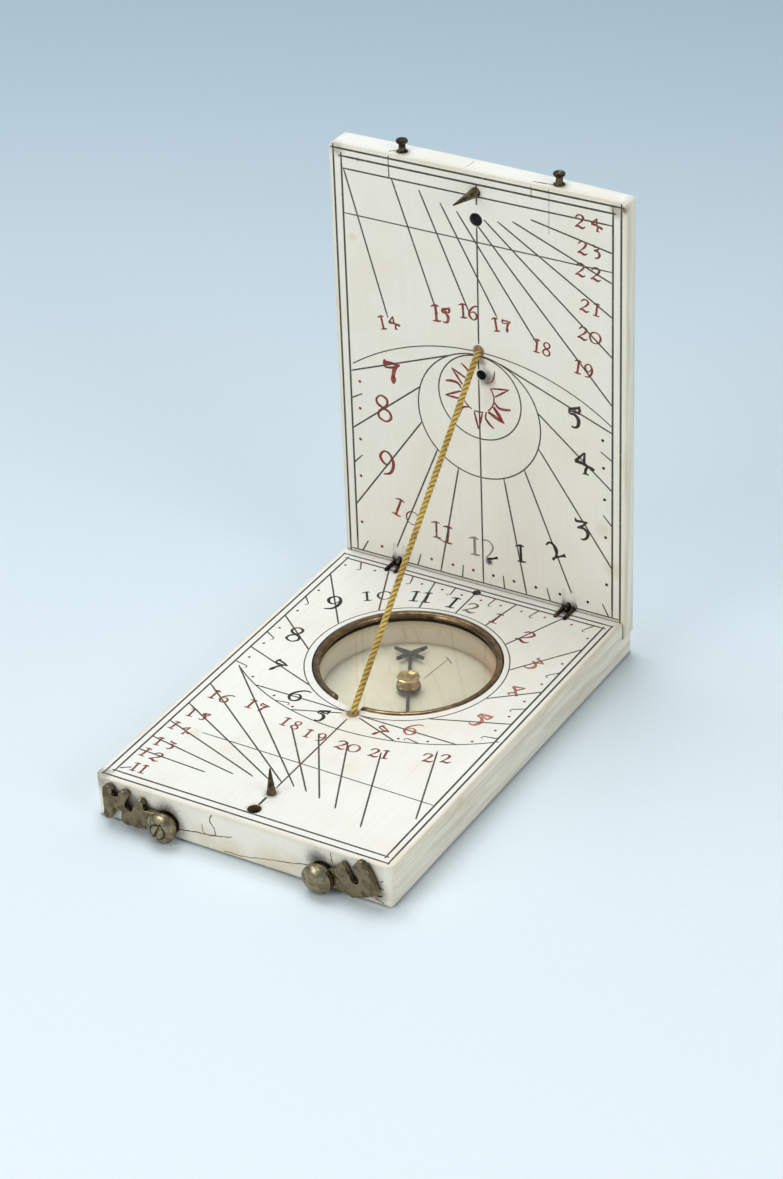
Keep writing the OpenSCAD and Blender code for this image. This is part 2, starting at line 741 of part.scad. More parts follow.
lower_leaf();
upper_leaf();
hinge_staple(hinge_left);  // hinge_staple_left
hinge_staple(hinge_right);  // hinge_staple_right
hinge_eye(hinge_left);  // hinge_eye_left
hinge_eye(hinge_right);  // hinge_eye_right
compass_glass();
glass_ring();
compass_pivot();
compass_needle();
needle_cap();
gnomon_cord();
lower_cord_wedge();
upper_cord_wedge();
lower_pin_gnomon();
upper_pin_gnomon();
left_hook();
right_hook();
left_hook_screw();
right_hook_screw();
left_hook_washer();
right_hook_washer();
left_catch_stud();
right_catch_stud();
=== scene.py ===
# %% [markdown]
# # A diptych sundial
#
# A pocket sundial of two ivory leaves that fold together like a book. The lower leaf
# holds a compass under glass and two dials, the upper leaf two more dials. What throws a
# dial's shadow is its gnomon: a cord from leaf to leaf for the two large dials, and a
# small pin for each of the others. The solids come packed from CAD, and this lesson
# gives them their engraving, their finishes, their light and their camera.

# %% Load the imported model
import math
import random

import bmesh
import bpy
import numpy as np
from mathutils import Matrix, Vector, noise
from mathutils.geometry import delaunay_2d_cdt


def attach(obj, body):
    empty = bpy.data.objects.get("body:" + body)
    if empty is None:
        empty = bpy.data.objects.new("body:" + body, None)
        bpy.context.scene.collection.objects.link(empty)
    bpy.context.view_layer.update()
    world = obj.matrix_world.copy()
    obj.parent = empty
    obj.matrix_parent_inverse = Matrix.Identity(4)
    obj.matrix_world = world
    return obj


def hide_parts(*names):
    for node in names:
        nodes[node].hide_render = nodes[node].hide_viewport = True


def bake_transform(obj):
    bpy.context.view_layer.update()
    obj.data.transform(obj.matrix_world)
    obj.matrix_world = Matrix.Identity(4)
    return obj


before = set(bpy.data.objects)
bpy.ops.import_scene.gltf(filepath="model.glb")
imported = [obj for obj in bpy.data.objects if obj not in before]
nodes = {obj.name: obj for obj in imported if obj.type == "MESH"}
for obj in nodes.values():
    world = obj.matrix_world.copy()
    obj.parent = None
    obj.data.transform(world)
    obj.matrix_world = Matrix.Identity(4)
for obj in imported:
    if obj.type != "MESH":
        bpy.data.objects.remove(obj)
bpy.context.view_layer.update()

mm = 0.001
print("CAD nodes:", len(nodes))

# %% [markdown]
# ## Camera
#
# The sundial was seen from its right front, a little from above and from far away, with
# a long lens, so its edges stay almost parallel. The camera is placed by its turn round
# the object, its height and a slight tilt of the picture.

# %% Place the camera
view_turn = math.radians(31.17)
view_height = math.radians(31.84)
view_tilt = math.radians(-2.19)
camera_place = (0.230190, -0.408820, 0.298339)
picture_size = (783, 1179)
focal_pixels = 3356.7
sensor = 36

backward = Vector((math.sin(view_turn) * math.cos(view_height),
                   -math.cos(view_turn) * math.cos(view_height),
                   math.sin(view_height)))
level = Vector((math.cos(view_turn), math.sin(view_turn), 0))
upward = backward.cross(level)
right = math.cos(view_tilt) * level + math.sin(view_tilt) * upward
up = backward.cross(right)

camera_data = bpy.data.cameras.new("camera")
camera_data.sensor_width = sensor
camera_data.lens = focal_pixels * sensor / max(picture_size)
camera = bpy.data.objects.new("camera", camera_data)
bpy.context.collection.objects.link(camera)
camera.matrix_world = Matrix.Translation(camera_place) @ Matrix(
    (right, up, backward)).transposed().to_4x4()
bpy.context.scene.camera = camera
print("lens", round(camera_data.lens, 1), "mm")

# %% [markdown]
# ## Helpers for materials
#
# Every finish here is made of nodes. The helpers below keep each recipe short: one adds
# a node and joins what feeds it, the others make the few steps that all recipes share.

# %% Node helpers
def add(tree, kind, feeds=None, **settings):
    """One node, with its sockets fed by values or by other sockets."""
    made = tree.nodes.new(kind)
    for key, value in settings.items():
        setattr(made, key, value)
    for key, value in (feeds or {}).items():
        if isinstance(value, bpy.types.NodeSocket):
            tree.links.new(value, made.inputs[key])
        else:
            made.inputs[key].default_value = value
    return made


def start(name, **plain):
    """A new material, its tree, its shader and its place in millimetres."""
    material = bpy.data.materials.new(name)
    material.use_nodes = True
    tree = material.node_tree
    shader = tree.nodes["Principled BSDF"]
    for key, value in plain.items():
        shader.inputs[key.replace("_", " ")].default_value = value
    spot = add(tree, "ShaderNodeTexCoord").outputs["Object"]
    place = add(tree, "ShaderNodeVectorMath", {0: spot, 1: (1 / mm,) * 3},
                operation="MULTIPLY").outputs[0]
    return material, tree, shader, place


def stretch(tree, place, scale):
    """The same place with each direction squeezed or drawn out."""
    return add(tree, "ShaderNodeVectorMath", {0: place, 1: scale},
               operation="MULTIPLY").outputs[0]


def clouds(tree, place, scale, detail=3, rough=0.5):
    """Soft noise from 0 to 1, scale times per millimetre."""
    return add(tree, "ShaderNodeTexNoise",
               {"Vector": place, "Scale": scale, "Detail": detail, "Roughness": rough}
               ).outputs["Fac"]


def between(tree, value, low, high, to_low=0.0, to_high=1.0):
    """A smooth step of value from low to high."""
    return add(tree, "ShaderNodeMapRange",
               {"Value": value, "From Min": low, "From Max": high,
                "To Min": to_low, "To Max": to_high},
               interpolation_type="SMOOTHSTEP").outputs[0]


def math_of(tree, operation, a, b=0.0):
    """One step of arithmetic."""
    return add(tree, "ShaderNodeMath", {0: a, 1: b}, operation=operation).outputs[0]


def times(tree, a, b):
    """Two values multiplied."""
    return math_of(tree, "MULTIPLY", a, b)


def larger(tree, a, b):
    """The larger of two values."""
    return math_of(tree, "MAXIMUM", a, b)


def distance(tree, place, point):
    """How far a place is from a point, in millimetres."""
    return add(tree, "ShaderNodeVectorMath", {0: place, 1: point},
               operation="DISTANCE").outputs["Value"]


def choose(tree, share, a, b, output):
    """Shader a, with b in its place by share, as the surface of an output."""
    made = add(tree, "ShaderNodeMixShader", {0: share, 1: a.outputs[0], 2: b.outputs[0]})
    tree.links.new(made.outputs[0], tree.nodes[output].inputs["Surface"])


def mix_rgb(tree, share, a, b):
    """Colour a, with colour b over it by share."""
    return add(tree, "ShaderNodeMix", {0: share, 6: a, 7: b}, data_type="RGBA").outputs[2]


def bump(tree, shader, height, depth, strength=1.0):
    """Fine relief, depth in millimetres."""
    made = add(tree, "ShaderNodeBump",
               {"Height": height, "Distance": depth * mm, "Strength": strength})
    tree.links.new(made.outputs[0], shader.inputs["Normal"])


def crevice_dirt_and_shade(tree, reach, share):
    """How far other surfaces within reach, in millimetres, crowd a spot, from 0 to share: the
    mask for crevices darkened partly as dirt and partly as painted shade.
    """
    free = add(tree, "ShaderNodeAmbientOcclusion", {"Distance": reach * mm}, samples=8)
    return between(tree, free.outputs["AO"], 0.72, 0.15, 0, share)


def rgb(red, green, blue):
    """A colour as it is seen on a screen, 0 to 255, in the shader's own scale."""
    channels = [c / 255 for c in (red, green, blue)]
    return tuple(c / 12.92 if c < 0.04045 else ((c + 0.055) / 1.055) ** 2.4
                 for c in channels) + (1.0,)


# %% [markdown]
# ## Floor, world and lamps
#
# The sundial stood on a pale blue sheet, lighter in front than behind, under broad soft lamps. A
# plain floor whose colour changes with distance gives much the same: the fall-off of light across
# the sheet is painted into the floor's colour. Lamps are big and even, so a white surface comes
# out white and the shadows stay soft.

# %% Make the floor and light
near_blue = rgb(242, 251, 255)
far_blue = rgb(164, 187, 202)
sheet_turn = view_turn - math.radians(10)
floor_near = -230
floor_far = 400
floor_reach = 6.0
fill_tint = (0.93, 0.97, 1.0, 1.0)
fill_strength = 0.29
lamp_aim = (0, -0.03, 0.03)

floor_stuff, tree, shader, place = start("pale_blue_sheet", Roughness=0.9)
shader.inputs["Specular IOR Level"].default_value = 0.1
away = add(tree, "ShaderNodeVectorMath",
           {0: place, 1: (-math.sin(sheet_turn), math.cos(sheet_turn), 0)},
           operation="DOT_PRODUCT").outputs["Value"]
# The blue darkens from near to far: a painted fall-off of the light across the sheet.
sheet = mix_rgb(tree, between(tree, away, floor_near, floor_far), near_blue, far_blue)
weave = between(tree, clouds(tree, place, 0.9, 4, 0.7), 0.3, 0.7, 0.985, 1.0)
sheet = add(tree, "ShaderNodeVectorMath", {0: sheet, 3: weave}, operation="SCALE").outputs[0]
tree.links.new(sheet, shader.inputs["Base Color"])

floor_mesh = bpy.data.meshes.new("floor")
floor_mesh.from_pydata([(x * floor_reach, y * floor_reach, 0)
                        for x, y in ((-1, -1), (1, -1), (1, 1), (-1, 1))], [], [(0, 1, 2, 3)])
floor = bpy.data.objects.new("floor", floor_mesh)
floor_mesh.materials.append(floor_stuff)
bpy.context.collection.objects.link(floor)

world = bpy.data.worlds.new("studio")
bpy.context.scene.world = world
world.use_nodes = True
room = world.node_tree
fill = room.nodes["Background"]
fill.inputs["Color"].default_value = fill_tint
fill.inputs["Strength"].default_value = fill_strength
backdrop = add(room, "ShaderNodeBackground", {"Color": far_blue, "Strength": 1.0})
rays = add(room, "ShaderNodeLightPath").outputs
mirrored = larger(room, rays["Is Glossy Ray"], rays["Is Transmission Ray"])
choose(room, larger(room, rays["Is Camera Ray"], mirrored), fill, backdrop, "World Output")


def lamp(name, place, size, power, tint=(1.0, 1.0, 1.0)):
    """A square soft lamp that looks at the middle of the sundial."""
    data = bpy.data.lights.new(name, "AREA")
    data.size = size
    data.energy = power
    data.color = tint
    thing = bpy.data.objects.new(name, data)
    thing.location = place
    thing.rotation_euler = (Vector(lamp_aim) - Vector(place)).to_track_quat(
        "-Z", "Y").to_euler()
    bpy.context.collection.objects.link(thing)


lamp("top_lamp", (-0.20, 0.14, 0.75), 0.5, 3.75, (0.95, 0.98, 1.0))
lamp("front_lamp", (-0.35, -0.75, 0.40), 0.5, 2.48, (0.97, 0.99, 1.0))
lamp("right_lamp", (0.75, -0.25, 0.45), 0.4, 1.85, (0.98, 1.0, 1.0))
scene = bpy.context.scene
scene.view_settings.view_transform = "Standard"
print("floor and three lamps")

# %% [markdown]
# ## Ivory
#
# The leaves are taken for old ivory, though bone would look the same here. It is cream, yellower
# along its edges, with fine threads, hairline cracks and brown spots near the metal. The recipe
# stacks these over one another: threads drawn out along the leaf, clouds of yellow, darker edges,
# and round stains with ragged rims. Painted shade goes over them too: a warmer cream on the faces
# the top lamp lights less, dark walls inside the holes, darkened crevices, and some of the dark
# round patches.

# %% Make the ivory finish
cream = rgb(248, 246, 238)
warm_cream = rgb(239, 231, 211)
honey = rgb(220, 200, 158)
thread_grey = rgb(214, 208, 193)
rust = rgb(120, 88, 56)
side_brown = rgb(198, 182, 152)
shaded_side_cream = rgb(240, 228, 200)
hole_shade_and_smear = rgb(34, 28, 22)
grime_and_crevice_shade = rgb(58, 46, 34)


def along_tusk(tree, place, along, length, width, detail, rough):
    """Noise drawn out along one axis, as the tusk's threads are."""
    scale = [length if i == along else width for i in range(3)]
    return clouds(tree, stretch(tree, place, scale), 1.0, detail, rough)


def ivory(name, middle, half, along, stains_and_shade, holes):
    """Ivory for a block round middle, half as big as half, with threads along an axis.

    Stains, and patches of painted shade, are each (centre, radius, strength, tone); a hole is (a
    point, its way, radius, tone), its tone painted on its wall as shade.
    """
    material, tree, shader, place = start(name, Roughness=0.36)
    shader.inputs["IOR"].default_value = 1.5
    shader.inputs["Specular IOR Level"].default_value = 0.45
    threads = along_tusk(tree, place, along, 0.06, 1.6, 5, 0.65)
    patches = clouds(tree, place, 0.07, 3, 0.6)
    grain = clouds(tree, place, 2.2, 3, 0.6)
    offset = add(tree, "ShaderNodeVectorMath", {0: place, 1: middle}, operation="SUBTRACT")
    spread = add(tree, "ShaderNodeVectorMath", {0: offset.outputs[0]}, operation="ABSOLUTE")
    sides = add(tree, "ShaderNodeSeparateXYZ", {0: spread.outputs[0]})
    wobble = times(tree, patches, 1.6)
    colour = mix_rgb(tree, between(tree, patches, 0.42, 0.75, 0, 0.55), cream, warm_cream)
    colour = mix_rgb(tree, between(tree, threads, 0.45, 0.8, 0, 0.22), colour, thread_grey)
    streaks = along_tusk(tree, place, along, 0.05, 0.9, 6, 0.7)
    on_side = between(tree, sides.outputs[0], half[0] - 0.5, half[0] - 0.1)
    on_end = between(tree, sides.outputs[1], half[1] - 0.5, half[1] - 0.1, 0, 0.34)
    # Sides and end faces get a warmer cream: painted warm shade on the faces the top lamp lights
    # less.
    shaded_side_warmth = larger(tree, times(tree, on_side, 0.5), on_end)
    colour = mix_rgb(tree, shaded_side_warmth, colour, shaded_side_cream)
    stripe = times(tree, on_side, between(tree, streaks, 0.40, 0.70, 0, 0.6))
    colour = mix_rgb(tree, stripe, colour, side_brown)
    rims = []
    for axis in range(3):
        reach = math_of(tree, "ADD", sides.outputs[axis], wobble)
        rims.append(between(tree, reach, half[axis] - 0.5, half[axis] + 0.9))
    two = larger(tree, times(tree, rims[0], rims[1]), times(tree, rims[1], rims[2]))
    rim = larger(tree, two, times(tree, rims[0], rims[2]))
    colour = mix_rgb(tree, times(tree, rim, 0.3), colour, honey)
    # Round stains; the dark ones round the hooks on the front face are partly painted shade.
    for centre, radius, strength, tone in stains_and_shade:
        ragged = math_of(tree, "ADD", distance(tree, place, centre),
                         times(tree, grain, radius * 0.8))
        mark = between(tree, ragged, radius * 1.5, radius * 0.55, 0, strength)
        colour = mix_rgb(tree, mark, colour, tone)
    # The wall inside each hole is painted dark: painted shade of the bore.
    for centre, way, radius, tone in holes:
        flat = [0 if abs(v) > 0.5 else 1 for v in way]
        level = stretch(tree, place, flat)
        spot = tuple(c * f for c, f in zip(centre, flat))
        bore_shade = times(tree, between(tree, distance(tree, level, spot), radius + 0.1,
                                   radius + 0.03),
                     between(tree, distance(tree, place, centre), 6.5, 6.0))
        colour = mix_rgb(tree, times(tree, bore_shade, 0.93), colour, tone)
    if name == "lower_ivory":
        colour = well_tones(tree, place, colour)
    # Where other surfaces crowd close, at joints, beside the metal and in the well's corners, the
    # ivory darkens: partly dirt, partly painted shade.
    colour = mix_rgb(tree, crevice_dirt_and_shade(tree, 1.5, 0.85), colour, grime_and_crevice_shade)
    tree.links.new(colour, shader.inputs["Base Color"])
    shine = between(tree, grain, 0.3, 0.7, 0.30, 0.44)
    tree.links.new(shine, shader.inputs["Roughness"])
    relief = math_of(tree, "ADD", threads, times(tree, grain, 0.5))
    bump(tree, shader, relief, 0.03, 0.35)
    return material


# %% [markdown]
# Inside the compass well the ivory is made greyer, and its wall darker and browner, most of all
# on the right. Why it looks so isn't known. A mask made of the distance from the well's axis sets
# these tones apart from the rest of the leaf.

# %% Tone the compass well
well_axis = (0.9, -25.6, 0)
well_r = 14.2
well_floor = 1.4
floor_tone = rgb(209, 204, 187)
wall_tone = rgb(184, 173, 152)
wall_brown = rgb(188, 146, 110)


def well_tones(tree, place, colour):
    """Colour, with the tones of the compass well's floor and wall over it."""
    level = stretch(tree, place, (1, 1, 0))
    far = distance(tree, level, well_axis)
    parts = add(tree, "ShaderNodeSeparateXYZ", {0: place})
    height, across = parts.outputs[2], parts.outputs[0]
    deep = between(tree, height, 5.9, 5.5)
    in_well = times(tree, between(tree, far, 15.5, 15.3), deep)
    blotches = clouds(tree, place, 0.22, 3, 0.6)
    floor = mix_rgb(tree, between(tree, blotches, 0.35, 0.75, 0, 0.5), floor_tone,
                    rgb(196, 190, 168))
    brown = times(tree, between(tree, across, -4, 12), blotches)
    wall = mix_rgb(tree, between(tree, brown, 0.25, 0.6), wall_tone, wall_brown)
    on_wall = between(tree, far, well_r - 1.2, well_r - 0.1)
    inside_tone = mix_rgb(tree, on_wall, floor, wall)
    return mix_rgb(tree, in_well, colour, inside_tone)


# %% [markdown]
# ## Inks
#
# The drawing looks cut, with colour rubbed into the cut: black for lines and some hours,
# red for the others. The colour is worn in places, so each ink lets some ivory through
# where a fine noise says so.

# %% Make the inks
def ink(name, deep, worn, share):
    """Colour rubbed into a cut, worn in places."""
    material, tree, shader, place = start(name, Roughness=0.7)
    wear = between(tree, clouds(tree, place, 0.9, 4, 0.75), 0.48, 0.80, 0, share)
    tint = between(tree, clouds(tree, place, 0.12, 2), 0.35, 0.7, 0, 0.35)
    colour = mix_rgb(tree, tint, deep, rgb(98, 74, 52))
    tree.links.new(mix_rgb(tree, wear, colour, worn), shader.inputs["Base Color"])
    return material


line_ink = ink("line_ink", rgb(74, 70, 64), rgb(176, 168, 150), 0.45)
black_ink = ink("black_hours_ink", rgb(24, 20, 20), rgb(120, 108, 96), 0.3)
red_ink = ink("red_hours_ink", rgb(150, 38, 30), rgb(216, 170, 150), 0.6)
crack_ink = ink("crack_brown", rgb(118, 94, 68), rgb(190, 176, 150), 0.5)
pale_red_ink = ink("pale_red_ink", rgb(194, 112, 96), rgb(226, 196, 180), 0.75)
faded_ink = ink("faded_ink", rgb(150, 138, 122), rgb(214, 206, 190), 0.7)
LINE, BLACK, RED, CRACK, FADED, PALE_RED = 1, 2, 3, 4, 5, 6
inks = [line_ink, black_ink, red_ink, crack_ink, faded_ink, pale_red_ink]
print("inks:", [stuff.name for stuff in inks])

# %% [markdown]
# ## Strokes
#
# A cut is drawn as a ribbon along a line of points. The ribbon's width may change on the
# way, as a graver's cut does. Curves are rounded with a spline through their points.

# %% Draw ribbons
def ribbon(points, widths, colour):
    """The four-cornered pieces of a cut through points, as (corners, colour)."""
    points = [Vector(p) for p in points]
    if not isinstance(widths, (list, tuple)):
        widths = [widths] * len(points)
    sides = []
    for i, point in enumerate(points):
        way = points[min(i + 1, len(points) - 1)] - points[max(i - 1, 0)]
        way.normalize()
        out = Vector((-way.y, way.x)) * widths[i] / 2
        sides.append((point + out, point - out))
    pieces = []
    for (left_a, right_a), (left_b, right_b) in zip(sides, sides[1:]):
        pieces.append(([right_a, right_b, left_b, left_a], colour))
    return pieces


def rounded(points, steps=5):
    """A smooth line through points, each of (x, y, width)."""
    padded = [points[0]] + list(points) + [points[-1]]
    smooth = []
    for a, b, c, d in zip(padded, padded[1:], padded[2:], padded[3:]):
        for i in range(steps):
            t = i / steps
            smooth.append([0.5 * (2 * q + (r - p) * t + (2 * p - 5 * q + 4 * r - s) * t * t
                                  + (3 * q - p - 3 * r + s) * t ** 3)
                           for p, q, r, s in zip(a, b, c, d)])
    smooth.append(list(points[-1]))
    return smooth


def line(a, b, width=0.28, colour=LINE):
    """A straight cut that tapers a little at its ends."""
    a, b = Vector(a), Vector(b)
    points = [a.lerp(b, t) for t in (0, 0.04, 0.5, 0.96, 1)]
    return ribbon(points, [width * 0.7, width, width, width, width * 0.7], colour)


def arc(centre, radius, first, last, width=0.24, colour=LINE, steps=64):
    """A round cut from one angle to another, in degrees."""
    points = []
    for i in range(steps + 1):
        turn = math.radians(first + (last - first) * i / steps)
        points.append((centre[0] + radius * math.cos(turn),
                       centre[1] + radius * math.sin(turn)))
    return ribbon(points, width, colour)


def dot(centre, radius, colour, corners=8):
    """A drilled dot."""
    points = [Vector((centre[0] + radius * math.cos(i * math.tau / corners),
                      centre[1] + radius * math.sin(i * math.tau / corners)))
              for i in range(corners)]
    return [(points, colour)]


# %% [markdown]
# ## Hour numbers
#
# The numbers are drawn with a broad nib, in the old way: a 1 with two serifs, a 2 that
# ends in a tick, a flat-topped 3, a bold 7. Each is a few strokes of (x, y, width) in a
# frame one unit high, which is then turned, scaled and set down on the dial.

# %% Draw the numbers
glyphs = {
    "0": [[(0, .93, .08), (-.30, .80, .12), (-.42, .47, .15), (-.26, .14, .12), (0, .05, .07),
           (.28, .16, .11), (.42, .50, .15), (.28, .82, .11), (0, .93, .08)]],
    "1": [[(0, .02, .14), (0, .5, .15), (0, .98, .15)],
          [(-.32, .88, .04), (-.14, .96, .11), (.04, .99, .13), (.22, .95, .05)],
          [(-.24, -.01, .05), (-.06, .02, .11), (.12, .02, .11), (.30, .06, .05)]],
    "2": [[(-.32, .74, .08), (-.18, .93, .12), (.06, 1.0, .10), (.26, .84, .16),
           (.16, .58, .14), (-.08, .32, .08), (-.36, .06, .07)],
          [(-.36, .05, .07), (-.12, .13, .15), (.18, .02, .15), (.44, .17, .05)]],
    "3": [[(-.27, 1.0, .05), (-.24, .92, .09), (-.26, .83, .10)],
          [(-.27, .85, .13), (0, .84, .12), (.32, .82, .06)],
          [(.29, .82, .06), (.10, .68, .10), (-.12, .54, .15)],
          [(-.22, .53, .10), (-.05, .55, .13), (.14, .48, .13), (.25, .30, .17),
           (.17, .08, .13), (-.02, -.02, .09), (-.12, .03, .06)]],
    "4": [[(.02, 1.0, .06), (-.18, .76, .11), (-.40, .52, .14)],
          [(-.42, .50, .11), (-.2, .50, .16), (.02, .46, .12)],
          [(.03, 1.0, .08), (.01, .72, .12), (.0, .44, .12)],
          [(-.04, .45, .12), (.22, .38, .13), (.38, .31, .19), (.48, .34, .05)],
          [(.17, .42, .12), (.07, .2, .13), (.06, .04, .11)],
          [(-.06, .01, .05), (.08, .03, .09), (.22, -.01, .05)]],
    "5": [[(-.24, .80, .10), (0, .85, .14), (.27, .92, .09)],
          [(.28, 1.0, .05), (.27, .80, .14), (.22, .60, .05)],
          [(.22, .63, .05), (.04, .70, .09), (-.16, .73, .05)],
          [(-.20, .80, .09), (-.22, .62, .10)],
          [(-.21, .62, .09), (.02, .58, .13), (.16, .36, .18), (.09, .08, .14),
           (-.08, 0, .09), (-.20, .06, .08)]],
    "6": [[(.46, .96, .05), (.24, 1.0, .10), (-.02, .86, .12), (-.24, .58, .15),
           (-.30, .28, .16), (-.14, .04, .12), (.06, 0, .10), (.25, .18, .15),
           (.22, .42, .13), (.04, .56, .09), (-.18, .46, .05)]],
    "7": [[(-.27, 1.0, .06), (-.30, .84, .13), (-.31, .66, .07)],
          [(-.27, .88, .12), (.05, .85, .11), (.38, .78, .08)],
          [(-.31, .67, .07), (0, .67, .09), (.34, .77, .08)],
          [(.24, .76, .12), (.09, .56, .15), (.01, .34, .14), (-.02, .14, .21),
           (-.05, -.03, .05)]],
    "8": [[(0, .50, .12), (-.20, .66, .12), (-.22, .86, .10), (-.02, 1.0, .08),
           (.19, .88, .12), (.19, .68, .11), (0, .50, .11), (-.21, .36, .11),
           (-.25, .14, .11), (0, -.02, .08), (.24, .12, .12), (.21, .36, .11), (0, .50, .12)]],
    "9": [[(.22, .72, .06), (.04, .44, .08), (-.16, .48, .12), (-.28, .74, .14),
           (-.10, .98, .09), (.13, .92, .11), (.27, .62, .15), (.24, .30, .15),
           (.08, .06, .12), (-.20, -.02, .06)]],
}


def number(text, centre, height, turn, colour, spacing=0.9, weight=1.0):
    """The strokes of a number, turned by degrees about its centre."""
    pieces = []
    spin = Matrix.Rotation(math.radians(turn), 2)
    for i, digit in enumerate(text):
        shift = (i - (len(text) - 1) / 2) * spacing
        for stroke in glyphs[digit]:
            smooth = rounded(stroke)
            points = [spin @ Vector((p[0] + shift, p[1] - 0.5)) * height + Vector(centre)
                      for p in smooth]
            pieces += ribbon(points, [p[2] * height * weight for p in smooth], colour)
    return pieces


def brush(points, colour):
    """One free stroke of the brush through points, each of (x, y, width)."""
    smooth = rounded(points)
    return ribbon([p[:2] for p in smooth], [p[2] for p in smooth], colour)


# %% [markdown]
# ## Where the lines go
#
# The two cord dials share one rule. An hour line leaves the cord's hole at an angle whose
# tangent is the sine (lower leaf) or the cosine (upper leaf) of the latitude, times the
# tangent of fifteen degrees for each hour from noon. Ten hour lines measured on the
# photographed upper leaf give from 38 to 46 degrees, with 44.7 in the middle. The 45.8
# used here is at the upper end of that and isn't known to be the maker's latitude. The
# lines stop at the frame of border lines.

# %% Rules of the cord dials
latitude = math.radians(45.8)


def leave_box(start_at, way, low, high):
    """The point where a line that starts inside a box leaves it."""
    steps = []
    for axis in (0, 1):
        if abs(way[axis]) > 1e-9:
            edge = high[axis] if way[axis] > 0 else low[axis]
            steps.append((edge - start_at[axis]) / way[axis])
    return Vector(start_at) + Vector(way) * min(steps)


def cross_circle(start_at, way, centre, radius, far=True):
    """The point where a line leaves a circle or, with far off, where it enters it."""
    from_centre = Vector(start_at) - Vector(centre)
    unit = Vector(way).normalized()
    half = from_centre.dot(unit)
    root = math.sqrt(max(half * half - from_centre.length_squared + radius * radius, 0))
    return Vector(start_at) + unit * (-half + (root if far else -root))


def cord_hour(hours, factor, down):
    """The way of an hour line, for hours after noon: along the leaf at noon."""
    turn = math.radians(15 * hours)
    across = factor * math.sin(turn)
    along = math.cos(turn) * (-1 if down else 1)
    return Vector((across, along)).normalized()


# %% [markdown]
# The two pin dials count the hours from sunset. Where a pin's point throws its shadow follows
# from the sun's height and bearing. Here that rule is only a curve to draw by, fitted to the
# lines of the photographed dial. Its scale differs across and along, which no real pin's can, and
# neither scale is the height of the pin that stands there. The lower dial mixes it with a row of
# equinox points of their own scale, and its lines for 12, 21 and 22 are moved one by one. So both
# dials look right but wouldn't tell the time.

# %% Rules of the pin dials
midsummer = 23.5
near_equinox = -0.1
flat_latitude = 45.1
flat_foot = (1.1, -66.23)
flat_scale = (8.48, 7.74)
upright_latitude = 46.26
upright_foot = (1.54, 70.18)
upright_scale = (9.08, 9.81)


def sun_way(phi, season, hour):
    """The sun's way (east, north, up) at an hour counted from the last sunset."""
    sunset = math.acos(-math.tan(phi) * math.tan(season))
    turn = sunset - (24 - hour) * math.radians(15)
    east = -math.cos(season) * math.sin(turn)
    north = (math.sin(season) * math.cos(phi)
             - math.cos(season) * math.cos(turn) * math.sin(phi))
    height = (math.sin(season) * math.sin(phi)
              + math.cos(season) * math.cos(turn) * math.cos(phi))
    return east, north, height


def flat_shadow(hour, season):
    """A point of the lower pin dial, by the stretched rule fitted to the real lines."""
    east, north, height = sun_way(math.radians(flat_latitude), math.radians(season), hour)
    return Vector((flat_foot[0] - flat_scale[0] * east / height,
                   flat_foot[1] - flat_scale[1] * north / height))


def upright_shadow(hour, season):
    """A point of the upper pin dial, by the stretched rule fitted to the real lines."""
    east, north, height = sun_way(math.radians(upright_latitude), math.radians(season), hour)
    return Vector((upright_foot[0] + upright_scale[0] * east / north,
                   upright_foot[1] + upright_scale[1] * height / north))


# %% [markdown]
# ## The lower leaf's drawing
#
# Two border lines run round the leaf and cross at the corners. Inside them, a circle
# goes round the compass, the hour lines fan out from the cord's hole, short ticks mark
# the half hours and dots the quarters. In front of a shallow curve lies the dial of the
# small pin. All sizes are in millimetres from the hinge line and the leaf's middle.

# %% Lower dial: borders and circles
cord_x = 0.6
cord_front = 42.3
cord_rise = 43.5
cord_spot = Vector((cord_x, -cord_front))
compass_middle = Vector(well_axis[:2])
frame_low = Vector((-23.8, -72.06))
frame_high = Vector((23.9, -2.7))
outer_low = Vector((-25.0, -73.45))
outer_high = Vector((25.0, -1.6))
border_width = 0.34


def border(low, high, overrun):
    """Four straight lines that run past one another at the corners."""
    return (line((low.x, low.y - overrun), (low.x, high.y + overrun), border_width)
            + line((high.x, low.y - overrun), (high.x, high.y + overrun), border_width)
            + line((low.x - overrun, low.y), (high.x + overrun, low.y), border_width)
            + line((low.x - overrun, high.y), (high.x + overrun, high.y), border_width))


lower_cuts = border(frame_low, frame_high, 0.5) + border(outer_low, outer_high, 0.25)
engraved_r = 16.35
engraved_middle = Vector((0.89, -25.9))
lower_cuts += arc(engraved_middle, engraved_r, 0, 360, 0.2)
split_middle = Vector((0.9, -9.6))
split_r = 37.4
lower_cuts += arc(split_middle, split_r, 232, 309, 0.22)
print("border and circles:", len(lower_cuts), "pieces")

# %% [markdown]
# The hour lines are drawn by the rule above rather than one by one, so that all of them
# point at the cord's hole. Ticks and dots are measured back from each line's outer end.

# %% Lower dial: hours of the cord
half_tick = 2.3
half_curl = 0.7
hole_clear = 1.6
dot_back = 1.5
dot_r = 0.24
sine = math.sin(latitude)


def lower_end(way):
    """Where an hour line of the lower cord dial stops: at the frame or the curve."""
    end = leave_box(cord_spot, way, frame_low, frame_high)
    if (end - split_middle).length > split_r and end.y < split_middle.y:
        end = cross_circle(cord_spot, way, split_middle, split_r)
    return end


def tick(end, way, length, colour=LINE, curl=0.0):
    """A half hour's short mark, with a small hook at its inner end."""
    tip = end - way * length
    made = ribbon([end, end.lerp(tip, 0.5), tip], [0.26, 0.24, 0.2], colour)
    if curl:
        side = Vector((-way.y, way.x)) * curl
        made += ribbon([tip, tip - way * 0.25 + side * 0.5, tip + side], [0.2, 0.2, 0.12],
                       colour)
    return made


